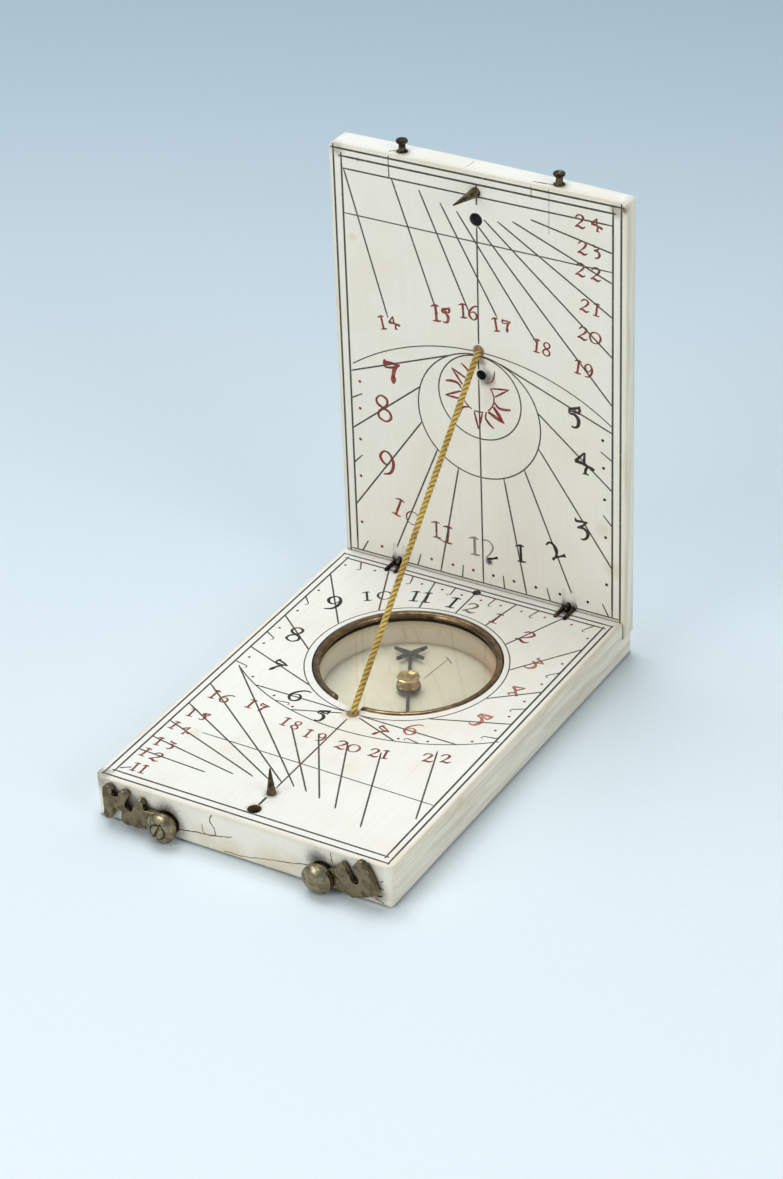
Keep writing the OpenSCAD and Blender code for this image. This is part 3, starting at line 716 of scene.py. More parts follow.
for hour in range(-7, 8):
    way = cord_hour(hour, sine, False)
    begin = cord_spot + way * hole_clear
    if abs(hour) < 6:
        begin = cross_circle(cord_spot, way, engraved_middle, engraved_r)
    lower_cuts += line(begin, lower_end(way))
for half in range(-13, 14, 2):
    way = cord_hour(half / 2, sine, False)
    end = lower_end(way)
    curl = half_curl if half < 0 else -half_curl
    lower_cuts += tick(end, way, half_tick, LINE, curl)
    for quarter in (-0.25, 0.25):
        way = cord_hour(half / 2 + quarter, sine, False)
        spot = lower_end(way) - way * dot_back
        lower_cuts += dot(spot, dot_r, BLACK if half < 0 else RED)
lower_cuts += dot((0.66, -2.5), 0.75, BLACK, 12)
lower_cuts += line((0.55, -44), (0.5, -64.9)) + line((0.5, -67.5), (0.48, -69.7), 0.42)
print("lower cord dial lines:", len(lower_cuts), "pieces")

# %% [markdown]
# No rule gives the places of the numbers. Each has its own place, height and turn, set to
# follow the photographed dial.

# %% Lower dial: numbers of the cord
for name, spot, height, turn, spacing in (
        ("5", (-3.55, -44.85), 3.3, 12, 1), ("6", (-9.75, -41.75), 3.4, -3, 1),
        ("7", (-17.0, -36.0), 3.4, -14, 1), ("8", (-19.28, -26.85), 4.0, 12, 1),
        ("9", (-18.75, -15.85), 4.0, 8, 1), ("10", (-13.6, -10.8), 2.7, 33, 1.08),
        ("11", (-6.85, -7.75), 3.0, 15, 0.66), ("1", (-1.25, -6.9), 3.1, 2, 1)):
    lower_cuts += number(name, spot, height, turn, BLACK, spacing)
lower_cuts += number("2", (2.1, -7.0), 2.8, 0, CRACK)
for name, spot, height, turn, colour in (
        ("1", (7.3, -7.9), 2.8, -6, RED), ("2", (14.15, -10.6), 3.2, -10, RED),
        ("3", (19.0, -16.9), 3.4, -26, PALE_RED), ("4", (20.1, -25.0), 3.1, -36, PALE_RED),
        ("5", (18.9, -34.6), 3.9, -10, PALE_RED), ("6", (10.9, -41.8), 3.1, 4, PALE_RED),
        ("7", (6.8, -44.5), 3.0, -22, RED)):
    lower_cuts += number(name, spot, height, turn, colour)
print("lower cord dial:", len(lower_cuts), "pieces")

# %% [markdown]
# The pin's lines fan out at the front of the leaf. Each runs from its midsummer point through a
# crossing of the equinox line, and stops at the frame, the curve or the row of numbers. The
# exceptions below are set to follow the photographed dial.

# %% Lower dial: hours of the pin
equinox_x, equinox_y = 0.3, -57.6
equinox_scale = 12.7
low_number_row = -49.4
for hour in range(12, 23):
    inner = flat_shadow(hour, midsummer)
    crossing = Vector((equinox_x + equinox_scale * math.tan(math.radians(15 * (hour - 18))),
                       equinox_y))
    if hour == 12:
        crossing = inner + Vector((-10, 0.5))
    if hour == 21:
        inner += Vector((0.9, -0.3))
    if hour == 22:
        crossing.x -= 0.7
        inner = crossing + Vector((1.55, -4.5))
    way = (crossing - inner).normalized()
    outer = leave_box(inner, way, frame_low, frame_high)
    if hour == 17:
        outer = cross_circle(inner, way, split_middle, split_r, far=False)
    if 18 <= hour <= 21:
        outer = inner + way * ((low_number_row - inner.y) / way.y)
    if hour == 22:
        outer = inner + way * ((low_number_row + 4.2 - inner.y) / way.y)
    lower_cuts += line(outer, inner)
lower_cuts += line((-17.5, -57.4), (23.9, -57.8), 0.2)
for name, spot, height, turn, spacing in (
        ("11", (-20.8, -69.9), 2.1, 2, 0.7), ("12", (-21.25, -66.05), 2.2, -8, 1.02),
        ("13", (-21.0, -62.5), 2.1, 0, 1.05), ("14", (-21.2, -57.9), 2.1, -10, 1.15),
        ("15", (-20.75, -53.5), 2.1, 0, 1.1), ("16", (-20.4, -47.65), 2.3, -4, 0.95),
        ("17", (-13.85, -47.25), 2.3, -2, 0.95), ("18", (-6.55, -49.0), 2.15, -3, 0.95),
        ("19", (-1.6, -50.1), 2.1, 0, 1.1), ("20", (4.45, -50.4), 2.2, 3, 1.0),
        ("21", (9.8, -49.8), 2.15, 12, 0.85), ("22", (18.1, -46.9), 2.2, 22, 1.25)):
    lower_cuts += number(name, spot, height, turn, RED, spacing, 1.2)
lower_cuts += line((-23.5, -71.2), (-22.0, -70.2), 0.26, RED)
print("lower pin dial:", len(lower_cuts), "pieces")

# %% [markdown]
# The floor of the compass well carries one short line with an arrow's head, which most
# likely shows where the needle stands when the dial is set. The front face has cracks.

# %% Lower leaf: well floor and cracks
floor_cuts = (line((1.21, -21.2), (1.92, -14.6), 0.2, FADED)
              + line((1.92, -14.5), (1.2, -14.2), 0.2, LINE)
              + line((1.92, -14.5), (3.1, -15.5), 0.2, LINE))


def wander(points, width, colour, seed, swing=0.12, steps=7):
    """A crack: a line through points that trembles."""
    rough = random.Random(seed)
    smooth = rounded([(x, y, width) for x, y in points], steps)
    path = [(x + rough.uniform(-swing, swing), y + rough.uniform(-swing, swing))
            for x, y, w in smooth]
    return ribbon(path, [p[2] * rough.uniform(0.6, 1.2) for p in smooth], colour)


front_cracks = (([(-4.9, 6.8), (-5.3, 5.6), (-4.6, 4.6), (-4.4, 3.2)], 0.2, CRACK, 1, 0.05),
                ([(-6.7, 4.6), (-6.5, 3.0), (-4.4, 3.2)], 0.14, FADED, 2, 0.05),
                ([(-11.5, 2.0), (-8.5, 2.6), (-4.4, 3.1), (-1.5, 3.9)], 0.18, CRACK, 3, 0.06),
                ([(-3.0, 0.9), (0.6, 1.0), (4.6, 1.9), (8.5, 2.6), (11.8, 3.4)],
                 0.18, FADED, 4, 0.08),
                ([(15.8, 6.9), (15.9, 5.8), (16.1, 4.9)], 0.14, CRACK, 5, 0.05),
                ([(20.5, 3.2), (22.0, 2.6), (24.9, 3.4)], 0.14, CRACK, 6, 0.08),
                ([(22.9, 2.2), (23.7, 1.7), (24.4, 1.9)], 0.26, BLACK, 13, 0.06),
                ([(23.2, 1.2), (24.0, 0.9), (24.7, 0.7)], 0.22, CRACK, 14, 0.06),
                ([(23.0, 3.6), (23.9, 4.3), (24.9, 4.9)], 0.14, CRACK, 15, 0.06),
                ([(-24.9, 3.4), (-24.0, 3.0), (-23.3, 3.2)], 0.24, CRACK, 16, 0.06))
front_cuts = sum((wander(*crack) for crack in front_cracks), [])
print("floor and front:", len(floor_cuts) + len(front_cuts), "pieces")

# %% [markdown]
# ## The upper leaf's drawing
#
# The upper cord dial hangs from its own hole: the hour lines spread down from a round
# band, and a small rayed sun fills the middle. Above a shallow curve lies the second pin
# dial, whose lines lean to the right.

# %% Upper dial: borders, circles and sun
upper_spot = Vector((cord_x, cord_rise))
upper_low = Vector((-23.3, 0.55))
upper_high = Vector((24.2, 72.26))
upper_outer_low = Vector((-24.7, -0.4))
upper_outer_high = Vector((25.6, 73.5))
horizon = 70.2
band_middle = Vector((0.4, 31.6))
band_r = 11.1

upper_cuts = []
for side_low, side_high in ((upper_low, upper_high), (upper_outer_low, upper_outer_high)):
    for x in (side_low.x, side_high.x):
        upper_cuts += line((x, side_low.y), (x, side_high.y + 0.6), border_width)
    upper_cuts += line((side_low.x - 0.5, side_high.y), (side_high.x + 0.5, side_high.y),
                       border_width)
upper_cuts += line((-24.7, 0.5), (25.6, 0.5), 0.24)
upper_cuts += line((upper_low.x, horizon), (upper_high.x, horizon))
upper_cuts += arc(band_middle, band_r, 0, 360, 0.24)
upper_cuts += arc((0.6, 35.1), 7.45, 0, 360, 0.24)
upper_cuts += arc((0.6, 3.5), 39.8, 53.9, 125.9, 0.2)

sun_middle = Vector((0.3, 35.4))
sun_r = 2.9
ray_tip = 6.1
for turn, kind, weight in ((23, "split", 1.0), (55, "flame", 0.6), (116, "flame", 0.8),
                           (140, "split", 1.2), (163, "flame", 1.1), (192, "split", 1.2),
                           (229, "flame", 1.0), (270, "split", 1.1), (294, "flame", 0.9),
                           (320, "split", 1.9), (345, "flame", 1.1)):
    out = Vector((math.cos(math.radians(turn)), math.sin(math.radians(turn))))
    side = Vector((-out.y, out.x))
    if kind == "flame":
        wave = [(sun_middle + out * r * ray_tip + side * s, w * weight) for r, s, w in
                ((0.48, 0.35, 0.22), (0.64, -0.3, 0.40), (0.82, -0.1, 0.46), (0.98, 0.4, 0.26))]
        upper_cuts += brush([(p.x, p.y, w) for p, w in wave], RED)
        continue
    tip = sun_middle + out * ray_tip
    for s in (-0.75, 0.75):
        foot = sun_middle + out * (sun_r + 0.1) + side * s
        upper_cuts += ribbon([foot, foot.lerp(tip, 0.5), tip],
                             [0.24 * weight, 0.36 * weight, 0.18], RED)
for first, last in ((-52, 38), (186, 246), (256, 288)):
    upper_cuts += arc(sun_middle, sun_r, first, last, 0.26, RED, 12)
print("upper borders and sun:", len(upper_cuts), "pieces")

# %% [markdown]
# These hour lines start at the round band and run down to the frame, by the rule of the
# cord dials. The 2 and the worn 12 have shapes of their own, so free strokes draw them.

# %% Upper dial: hours of the cord
cosine = math.cos(latitude)
upper_tick = 2.4
upper_dot_back = 1.9
upper_dot_r = 0.28


def upper_end(way):
    """Where an hour line of the upper cord dial stops."""
    return leave_box(upper_spot, way, upper_low, upper_high)


for hour in range(-5, 6):
    way = cord_hour(hour, cosine, True)
    begin = cross_circle(upper_spot, way, band_middle, band_r) if hour else Vector((0.5, 38.3))
    upper_cuts += line(begin, upper_end(way))
upper_cuts += line((0.5, 42.3), (0.52, 40.2)) + line((0.62, 44.7), (0.72, 65.1))
for half in range(-9, 10, 2):
    way = cord_hour(half / 2, cosine, True)
    upper_cuts += tick(upper_end(way), way, upper_tick)
for quarter in range(-19, 20, 2):
    way = cord_hour(quarter / 4, cosine, True)
    spot = upper_end(way) - way * upper_dot_back
    upper_cuts += dot(spot, upper_dot_r, RED if quarter < 0 else BLACK)
for name, spot, height, turn, weight in (
        ("7", (-15.35, 36.0), 4.2, 8, 1.15), ("8", (-17.3, 28.8), 4.6, 9, 0.85),
        ("9", (-17.0, 18.7), 4.3, 3, 0.9), ("1", (-15.15, 10.75), 3.3, -20, 0.9),
        ("0", (-12.5, 9.4), 2.8, -20, 0.7), ("1", (-8.05, 8.35), 3.0, 0, 0.85),
        ("1", (-5.9, 7.95), 3.2, -6, 1.0)):
    upper_cuts += number(name, spot, height, turn, RED, 1, weight)
upper_cuts += line((-8.1, 6.9), (-6.4, 6.4), 0.2, RED)
for name, spot, height, turn in (("1", (7.65, 8.1), 3.1, 2), ("3", (18.8, 15.8), 3.8, 8),
                                 ("4", (19.2, 27.9), 3.9, 0), ("5", (17.55, 35.9), 3.9, 8)):
    upper_cuts += number(name, spot, height, turn, BLACK)
upper_cuts += brush([(12.3, 11.0, .3), (12.8, 11.6, .4), (13.5, 11.5, .45), (14.1, 10.7, .6),
                     (14.2, 9.9, .5), (14.0, 9.2, .35), (13.5, 8.5, .4)], BLACK)
upper_cuts += brush([(13.4, 8.7, .4), (14.3, 9.25, .35), (15.1, 9.65, .4), (15.8, 9.95, .75)],
                    BLACK)
upper_cuts += number("1", (-0.9, 7.15), 3.3, 0, FADED)
upper_cuts += brush([(0.7, 8.8, .22), (1.8, 8.8, .26), (2.5, 7.8, .3), (1.9, 6.4, .26),
                     (1.1, 5.5, .22)], FADED)
upper_cuts += brush([(1.3, 5.35, .3), (1.9, 5.5, .45), (2.6, 5.75, .35), (3.35, 6.1, .55)],
                    BLACK)
print("upper cord dial:", len(upper_cuts), "pieces")

# %% [markdown]
# The second pin dial's lines run from their midwinter points, or from the level line near
# the top, towards their equinox points. They stop at the frame or at the row of numbers.

# %% Upper dial: hours of the pin
upper_bottom = {14: 45.6, 15: 48.3, 16: 50.0, 17: 50.2, 18: 47.2}
for hour in range(14, 24):
    top_point = upright_shadow(hour, -midsummer)
    way = (upright_shadow(hour, near_equinox) - top_point).normalized()
    if top_point.y > horizon:
        top_point += way * ((horizon - top_point.y) / way.y)
    if hour in upper_bottom:
        bottom = top_point + way * ((upper_bottom[hour] - top_point.y) / way.y)
    else:
        bottom = leave_box(top_point, way, upper_low, upper_high)
    upper_cuts += line(top_point, bottom)
for name, spot, height, turn, spacing in (
        ("14", (-15.85, 44.7), 2.3, 12, 0.95), ("15", (-6.1, 48.5), 2.8, 4, 0.62),
        ("16", (-1.15, 50.0), 2.4, 3, 0.75), ("17", (4.75, 49.0), 2.25, 8, 0.86),
        ("18", (11.85, 46.75), 2.3, -6, 0.76), ("19", (19.1, 44.7), 2.3, -8, 0.78),
        ("20", (20.1, 50.75), 2.2, -8, 1.0), ("21", (20.4, 55.6), 2.1, -8, 1.0),
        ("22", (19.95, 61.6), 2.2, -4, 1.2), ("23", (20.2, 65.4), 2.2, -3, 1.1),
        ("24", (20.0, 69.8), 2.2, 0, 1.3)):
    upper_cuts += number(name, spot, height, turn, RED, spacing, 1.15)
upper_cuts += line((upper_low.x, 62.5), (upper_high.x, 62.4), 0.22)
upper_cuts += line((0.75, 68.8), (0.78, 72.2))
upper_cuts += wander([(-14.7, 74.0), (-14.75, 72.0), (-14.7, 70.3)], 0.22, LINE, 7, 0.03)
upper_cuts += wander([(13.3, 74.0), (13.35, 71.5), (13.3, 66.5)], 0.1, FADED, 8, 0.03)
upper_cuts += wander([(10.3, 74.0), (10.3, 71.9)], 0.14, FADED, 9, 0.03)
top_cuts = (wander([(-13.6, 1.1), (-14.5, 0.9), (-14.8, 0.5)], 0.26, LINE, 10, 0.03)
            + wander([(13.9, 0.9), (12.0, 0.7), (10.3, 0.6)], 0.24, LINE, 11, 0.03)
            + wander([(-1.3, 3.2), (-1.1, 2.0), (-1.4, 0.6)], 0.1, FADED, 12, 0.05))
print("upper pin dial:", len(upper_cuts), "pieces")

# %% [markdown]
# ## Cutting the drawing into the leaves
#
# A cut that is only painted looks flat from the side, so the drawing is cut into the
# mesh. The flat face of the leaf is taken out, triangulated again with every ribbon's
# edges in it, and the triangles inside a ribbon are sunk by less than a tenth of a
# millimetre, with small walls round them.

# %% Cut strokes into a flat face
cut_depth = 0.08
same_way = 0.9999
same_level = 0.002 * mm
join_within = 1e-4
INK_FIRST = {BLACK: 0, LINE: 1, RED: 2, PALE_RED: 3, CRACK: 4, FADED: 5}


def inside(points, rim_lines):
    """For each point, whether the rim lines shut it in."""
    shut = np.zeros(len(points), bool)
    for (ax, ay), (bx, by) in rim_lines:
        if ay == by:
            continue
        spans = (points[:, 1] < ay) != (points[:, 1] < by)
        crossing = ax + (points[:, 1] - ay) / (by - ay) * (bx - ax)
        shut ^= spans & (points[:, 0] < crossing)
    return shut


def coloured(centres, cuts):
    """The colour of the cut that holds each point, or 0 where none does."""
    colours = np.zeros(len(centres), int)
    rank = np.full(len(centres), len(INK_FIRST))
    for corners, colour in cuts:
        low = [min(c[i] for c in corners) for i in (0, 1)]
        high = [max(c[i] for c in corners) for i in (0, 1)]
        near = np.nonzero((centres[:, 0] > low[0]) & (centres[:, 0] < high[0])
                          & (centres[:, 1] > low[1]) & (centres[:, 1] < high[1])
                          & (rank > INK_FIRST[colour]))[0]
        if len(near):
            sides = list(zip(corners, corners[1:] + corners[:1]))
            held = near[inside(centres[near], sides)]
            colours[held] = colour
            rank[held] = INK_FIRST[colour]
    return colours


def engrave(bm, origin, across, along, cuts):
    """Cut strokes, drawn in millimetres from origin, into one flat face of a mesh."""
    origin, across, along = (Vector(v) for v in (origin, across, along))
    facing = across.cross(along)
    # A dict keeps the mesh's own order, where a set's order would change from run to run.
    old = dict.fromkeys(f for f in bm.faces if f.normal.dot(facing) > same_way
                        and abs((f.verts[0].co - origin * mm).dot(facing)) < same_level)
    rim = [e for f in old for e in f.edges if sum(g in old for g in e.link_faces) == 1]
    rim_verts = list(dict.fromkeys(v for e in rim for v in e.verts))
    order = {v: i for i, v in enumerate(rim_verts)}

    def flat(co):
        step = co / mm - origin
        return Vector((step.dot(across), step.dot(along)))

    def solid(p, depth=0.0):
        return (origin + across * p[0] + along * p[1] - facing * depth) * mm

    points = [flat(v.co) for v in rim_verts]
    rim_pairs = [(order[e.verts[0]], order[e.verts[1]]) for e in rim]
    pairs = list(rim_pairs)
    for corners, _ in cuts:
        first, count = len(points), len(corners)
        pairs += [(first + i, first + (i + 1) % count) for i in range(count)]
        points += corners
    out, out_edges, out_faces, from_verts, from_edges, _ = delaunay_2d_cdt(
        points, pairs, [], 0, join_within, True)

    top = {}
    on_rim = set()
    for i, sources in enumerate(from_verts):
        known = [s for s in sources if s < len(rim_verts)]
        if known:
            top[i] = rim_verts[known[0]]
            on_rim.add(i)
    extra = {}
    for (a, b), sources in zip(out_edges, from_edges):
        for source in sources:
            if source < len(rim):
                extra.setdefault(source, set()).update(i for i in (a, b) if i not in on_rim)
    for source, between_ends in extra.items():
        edge, first = rim[source], rim[source].verts[0]
        for i in sorted(between_ends, key=lambda k: -(solid(out[k]) - first.co).length):
            share = (solid(out[i]) - first.co).length / edge.calc_length()
            edge, made = bmesh.utils.edge_split(edge, first, min(max(share, 0), 1))
            edge = next(e for e in first.link_edges if made in e.verts)
            made.co = solid(out[i])
            top[i] = made
            on_rim.add(i)
    bmesh.ops.delete(bm, geom=list(old), context="FACES_ONLY")

    centres = np.array([sum((out[i] for i in f), Vector((0, 0))) / len(f) for f in out_faces])
    rim_lines = [(tuple(points[a]), tuple(points[b])) for a, b in rim_pairs]
    kept = inside(centres, rim_lines)
    colours = coloured(centres, cuts)
    colour_of = {k: int(colours[k]) for k in range(len(out_faces)) if kept[k]}
    sunk = {}
    for k, colour in colour_of.items():
        for i in out_faces[k]:
            if i not in top:
                top[i] = bm.verts.new(solid(out[i]))
            if colour and i not in on_rim and i not in sunk:
                sunk[i] = bm.verts.new(solid(out[i], cut_depth))
    owner = {}
    for k in colour_of:
        corners = out_faces[k]
        for a, b in zip(corners, corners[1:] + corners[:1]):
            owner[(a, b)] = k
    for k, colour in colour_of.items():
        corners = out_faces[k]
        level = sunk if colour else {}
        face = bm.faces.new([level.get(i, top[i]) for i in corners])
        face.material_index = colour
        for a, b in zip(corners, corners[1:] + corners[:1]):
            other = owner.get((b, a))
            if not colour or other is None or colour_of[other]:
                continue
            ring = list(dict.fromkeys([sunk.get(b, top[b]), sunk.get(a, top[a]), top[a], top[b]]))
            if len(ring) > 2:
                wall = bm.faces.new(ring)
                wall.material_index = colour
    return len(colour_of)


def link(name, mesh):
    """A new object in the scene."""
    thing = bpy.data.objects.new(name, mesh)
    bpy.context.collection.objects.link(thing)
    return thing


def stands_for(thing, node, body):
    """A piece takes a node's place and rides on a body."""
    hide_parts(node)
    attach(thing, body)
    return thing


sharp_angle = math.radians(32)


def engraved_leaf(node, name, body, ivory_stuff, faces):
    """A leaf made from the CAD node's mesh with its drawings cut in."""
    bm = bmesh.new()
    bm.from_mesh(nodes[node].data)
    bmesh.ops.remove_doubles(bm, verts=bm.verts, dist=1e-7)
    bm.normal_update()
    for f in bm.faces:
        f.material_index = 0
        f.smooth = True
    for origin, across, along, cuts in faces:
        count = engrave(bm, origin, across, along, cuts)
        print(name, "face at", origin, "has", count, "triangles")
    loose = [v for v in bm.verts if not v.link_faces]
    bmesh.ops.delete(bm, geom=loose, context="VERTS")
    bm.normal_update()
    for e in bm.edges:
        flat = [f for f in e.link_faces if not f.smooth]
        e.smooth = not flat and e.calc_face_angle(math.pi) < sharp_angle
    mesh = bpy.data.meshes.new(name)
    bm.to_mesh(mesh)
    bm.free()
    for stuff in [ivory_stuff] + inks:
        mesh.materials.append(stuff)
    return stands_for(link(name, mesh), node, body)


# %% [markdown]
# Stains lie near the metal, round the holes and at worn corners. The dark patches round the two
# hooks on the front face are partly painted shade behind the hooks. Each is a soft ball in the
# material, so it wraps round an edge as a real stain does.

# %% Make the two leaves
dial_top = 7.4
leaf_front = -74.5
leaf_top = 81.9
left_x, right_x = -13.0, 14.4
dark_stain_and_shade = rgb(70, 64, 56)
brown_halo = rgb(150, 118, 78)
# The dark patches round the hooks, on and just in front of the front face, are partly smudges
# round the heads and partly painted shade behind the hooks.
lower_stains_and_shade = [((left_x, -75.2, 2.8), 3.4, 0.75, dark_stain_and_shade),
                ((right_x, -75.2, 2.8), 3.4, 0.75, dark_stain_and_shade),
                ((23.5, -74.8, 2.6), 2.6, 0.35, rust),
                ((-23.0, -74.8, 3.4), 2.4, 0.45, dark_stain_and_shade),
                ((-15.2, -0.6, dial_top), 1.6, 0.6, dark_stain_and_shade),
                ((16.4, -0.6, dial_top), 1.6, 0.6, dark_stain_and_shade),
                ((0.6, -42.3, dial_top), 2.2, 0.6, brown_halo),
                ((0.6, -66.3, dial_top), 1.5, 0.8, dark_stain_and_shade),
                ((0.4, -70.9, dial_top), 1.8, 0.5, brown_halo),
                ((-25.0, -73.6, 6.6), 2.2, 0.75, rust),
                ((-18.3, -58.2, dial_top), 1.6, 0.3, honey),
                ((26.1, -54.0, 6.2), 1.5, 0.7, honey),
                ((left_x, leaf_front, 4.6), 2.6, 0.7, dark_stain_and_shade),
                ((-18.5, leaf_front, 4.2), 2.6, 0.55, dark_stain_and_shade),
                ((13.4, leaf_front, 4.9), 2.4, 0.75, dark_stain_and_shade),
                ((18.8, leaf_front, 3.2), 2.6, 0.8, dark_stain_and_shade),
                ((23.6, leaf_front, 2.0), 1.8, 0.6, rust),
                ((-2.0, leaf_front, 0.4), 4.2, 0.55, honey),
                ((5.5, leaf_front, 1.0), 4.6, 0.6, honey),
                ((9.5, leaf_front, 2.8), 2.2, 0.45, honey),
                ((-6.5, leaf_front, 2.6), 2.6, 0.45, honey),
                ((-15.2, -2.2, dial_top), 1.5, 0.45, dark_stain_and_shade),
                ((16.4, -2.2, dial_top), 1.5, 0.45, dark_stain_and_shade)]
upper_stains = [((-15.2, 0, 7.7), 1.7, 0.7, dark_stain_and_shade),
                ((16.4, 0, 7.7), 1.6, 0.7, dark_stain_and_shade),
                ((left_x, 1.4, leaf_top), 1.1, 0.7, dark_stain_and_shade),
                ((right_x, 1.4, leaf_top), 0.9, 0.6, dark_stain_and_shade),
                ((26.1, 0, 80.6), 0.8, 0.9, rust),
                ((24.2, 0, 80.6), 0.5, 0.7, rust),
                ((1.9, 0, 46.3), 2.0, 0.8, dark_stain_and_shade),
                ((0.9, 0, 49.2), 1.2, 0.6, dark_stain_and_shade),
                ((1.75, 0, 12.3), 0.9, 0.95, hole_shade_and_smear),
                ((-21.8, 0, 66.0), 1.0, 0.4, honey),
                ((-20.3, 0, 79.6), 0.5, 0.5, rust),
                ((0.6, 0, 78.3), 1.5, 0.45, brown_halo),
                ((left_x, 1.4, leaf_top), 1.5, 0.7, dark_stain_and_shade),
                ((right_x, 1.4, leaf_top), 1.4, 0.7, dark_stain_and_shade),
                ((-24.0, 0, 80.6), 1.6, 0.5, rust),
                ((24.6, 0, 17.0), 2.2, 0.4, honey),
                ((22.5, 0, 24.0), 2.0, 0.3, honey),
                ((24.9, 0, 80.2), 1.6, 0.5, rust)]
# The tones of the holes are painted shade on their walls.
lower_holes = [((0.47, -70.9, 4.5), (0, 0, 1), 1.05, rgb(92, 66, 44))]
upper_holes = [((0.6, 2.3, 73.7), (0, 1, 0), 1.05, hole_shade_and_smear),
               ((1.0, 2.3, 46.7), (0, 1, 0), 0.8, hole_shade_and_smear)]
lower_ivory = ivory("lower_ivory", (0, -35.3, 3.7), (26.1, 39.2, 3.7), 1, lower_stains_and_shade,
                    lower_holes)
upper_ivory = ivory("upper_ivory", (0.5, 2.2, 43.2), (26.1, 2.3, 38.7), 2, upper_stains,
                    upper_holes)
x_way, y_way, z_way = (1, 0, 0), (0, 1, 0), (0, 0, 1)
lower_leaf = engraved_leaf("lower_leaf", "lower_leaf_engraved", "lower", lower_ivory, [
    ((0, 0, dial_top), x_way, y_way, lower_cuts),
    ((0, 0, well_floor), x_way, y_way, floor_cuts),
    ((0, leaf_front, 0), x_way, z_way, front_cuts)])
upper_leaf = engraved_leaf("upper_leaf", "upper_leaf_engraved", "upper", upper_ivory, [
    ((0, 0, dial_top), x_way, z_way, upper_cuts),
    ((0, 0, leaf_top), x_way, y_way, top_cuts)])
print("faces:", len(lower_leaf.data.polygons), len(upper_leaf.data.polygons))

# %% [markdown]
# ## Metals
#
# The small metal parts are old, and which metals they are is judged by colour alone. The hooks
# and screws are taken for brass gone grey-brown, with bare glints where a noise breaks the
# tarnish, the ring for bronze, the hinges for iron that is nearly black, and the needle's cap for
# a pale brass. In the hollows, and where other surfaces crowd close, each goes nearly black:
# partly dirt, partly painted shade. The dark ring on the left screw's head is painted shade of a
# groove.

# %% Make the metal finishes
def metal(name, bare, tarnish, share, smooth=0.3, dull=0.55, pits=1.6, depth=0.03,
          rings=()):
    """Metal with a tarnish that a fine noise breaks up, dark rings round an axis painted as the
    shade of a groove, and hollows darkened by dirt and painted shade.

    A ring is (a point of an axis that runs from front to back, radius, half its width).
    """
    material, tree, shader, place = start(name, Metallic=1.0)
    cloud = clouds(tree, place, 0.8, 4, 0.65)
    cover = between(tree, cloud, 0.62 - share * 0.4, 0.78 - share * 0.4)
    speck = clouds(tree, place, pits, 4, 0.7)
    colour = mix_rgb(tree, cover, bare, tarnish)
    colour = mix_rgb(tree, between(tree, speck, 0.60, 0.74, 0, 0.8), colour,
                     tuple(c * 0.25 for c in tarnish[:3]) + (1.0,))
    # A ring paints the shade of a groove as a dark line round its axis.
    for centre, radius, half in rings:
        far = distance(tree, stretch(tree, place, (1, 0, 1)), centre)
        off = math_of(tree, "ABSOLUTE", math_of(tree, "SUBTRACT", far, radius))
        colour = mix_rgb(tree, between(tree, off, half * 1.4, half * 0.5, 0, 0.85), colour,
                         tuple(c * 0.12 for c in tarnish[:3]) + (1.0,))
    # In hollows and where other surfaces crowd close the metal goes nearly black: partly dirt,
    # partly painted shade.
    colour = mix_rgb(tree, crevice_dirt_and_shade(tree, 1.0, 0.9), colour,
                     tuple(c * 0.08 for c in tarnish[:3]) + (1.0,))
    tree.links.new(colour, shader.inputs["Base Color"])
    tree.links.new(between(tree, cover, 0, 1, smooth, dull), shader.inputs["Roughness"])
    bump(tree, shader, speck, depth, 0.7)
    return material


old_brass = metal("old_brass", rgb(130, 115, 90), rgb(100, 88, 67), 0.45, 0.12, 0.24)
head_brass = metal("worn_head_brass", rgb(150, 136, 108), rgb(122, 108, 84), 0.5, 0.2, 0.34)
# The left head's dark ring is painted shade of the groove round its middle.
left_head_brass = metal("grooved_head_brass", rgb(156, 142, 114), rgb(122, 108, 84), 0.5,
                        0.2, 0.34, rings=[((left_x, 0, 2.8), 1.25, 0.16)])
stud_brass = metal("dark_stud_brass", rgb(98, 86, 62), rgb(46, 40, 32), 0.5, 0.26, 0.45)
pin_brass = metal("pin_brass", rgb(104, 92, 70), rgb(64, 56, 42), 0.5, 0.3, 0.5)
cap_brass = metal("cap_brass", rgb(214, 190, 132), rgb(134, 106, 66), 0.5, 0.14, 0.28, 1.6,
                  0.008)
bronze = metal("ring_bronze", rgb(138, 112, 84), rgb(112, 88, 64), 0.5, 0.2, 0.26, 0.4, 0.004)
iron = metal("hinge_iron", rgb(98, 82, 66), rgb(40, 34, 30), 0.55, 0.35, 0.6)
needle_iron = metal("needle_iron", rgb(70, 72, 78), rgb(30, 32, 36), 0.5, 0.35, 0.5)
steel = metal("pivot_steel", rgb(170, 170, 172), rgb(110, 108, 106), 0.3, 0.2, 0.35)


def finish_node(name, stuff):
    """Give a CAD node that keeps its shape its finish."""
    mesh = nodes[name].data
    mesh.materials.clear()
    mesh.materials.append(stuff)


for side in ("left", "right"):
    finish_node("hinge_staple_" + side, iron)
    finish_node("hinge_eye_" + side, iron)
    finish_node(side + "_hook_screw", left_head_brass if side == "left" else head_brass)
    finish_node(side + "_hook_washer", stud_brass)
finish_node("compass_pivot", steel)
finish_node("lower_pin_gnomon", pin_brass)
finish_node("upper_pin_gnomon", pin_brass)
print("metals done")

# %% [markdown]
# ## Hooks
#
# The hooks look sawn and filed from plate, and their edges are rounded by wear. A plain
# bevel looks too even, so each hook is turned into a fine grid of small squares,
# smoothed, and dented a little by a noise.

# %% Wear the hooks
wear_grid = 0.1
wear_passes = 4
wear_dent = 0.1


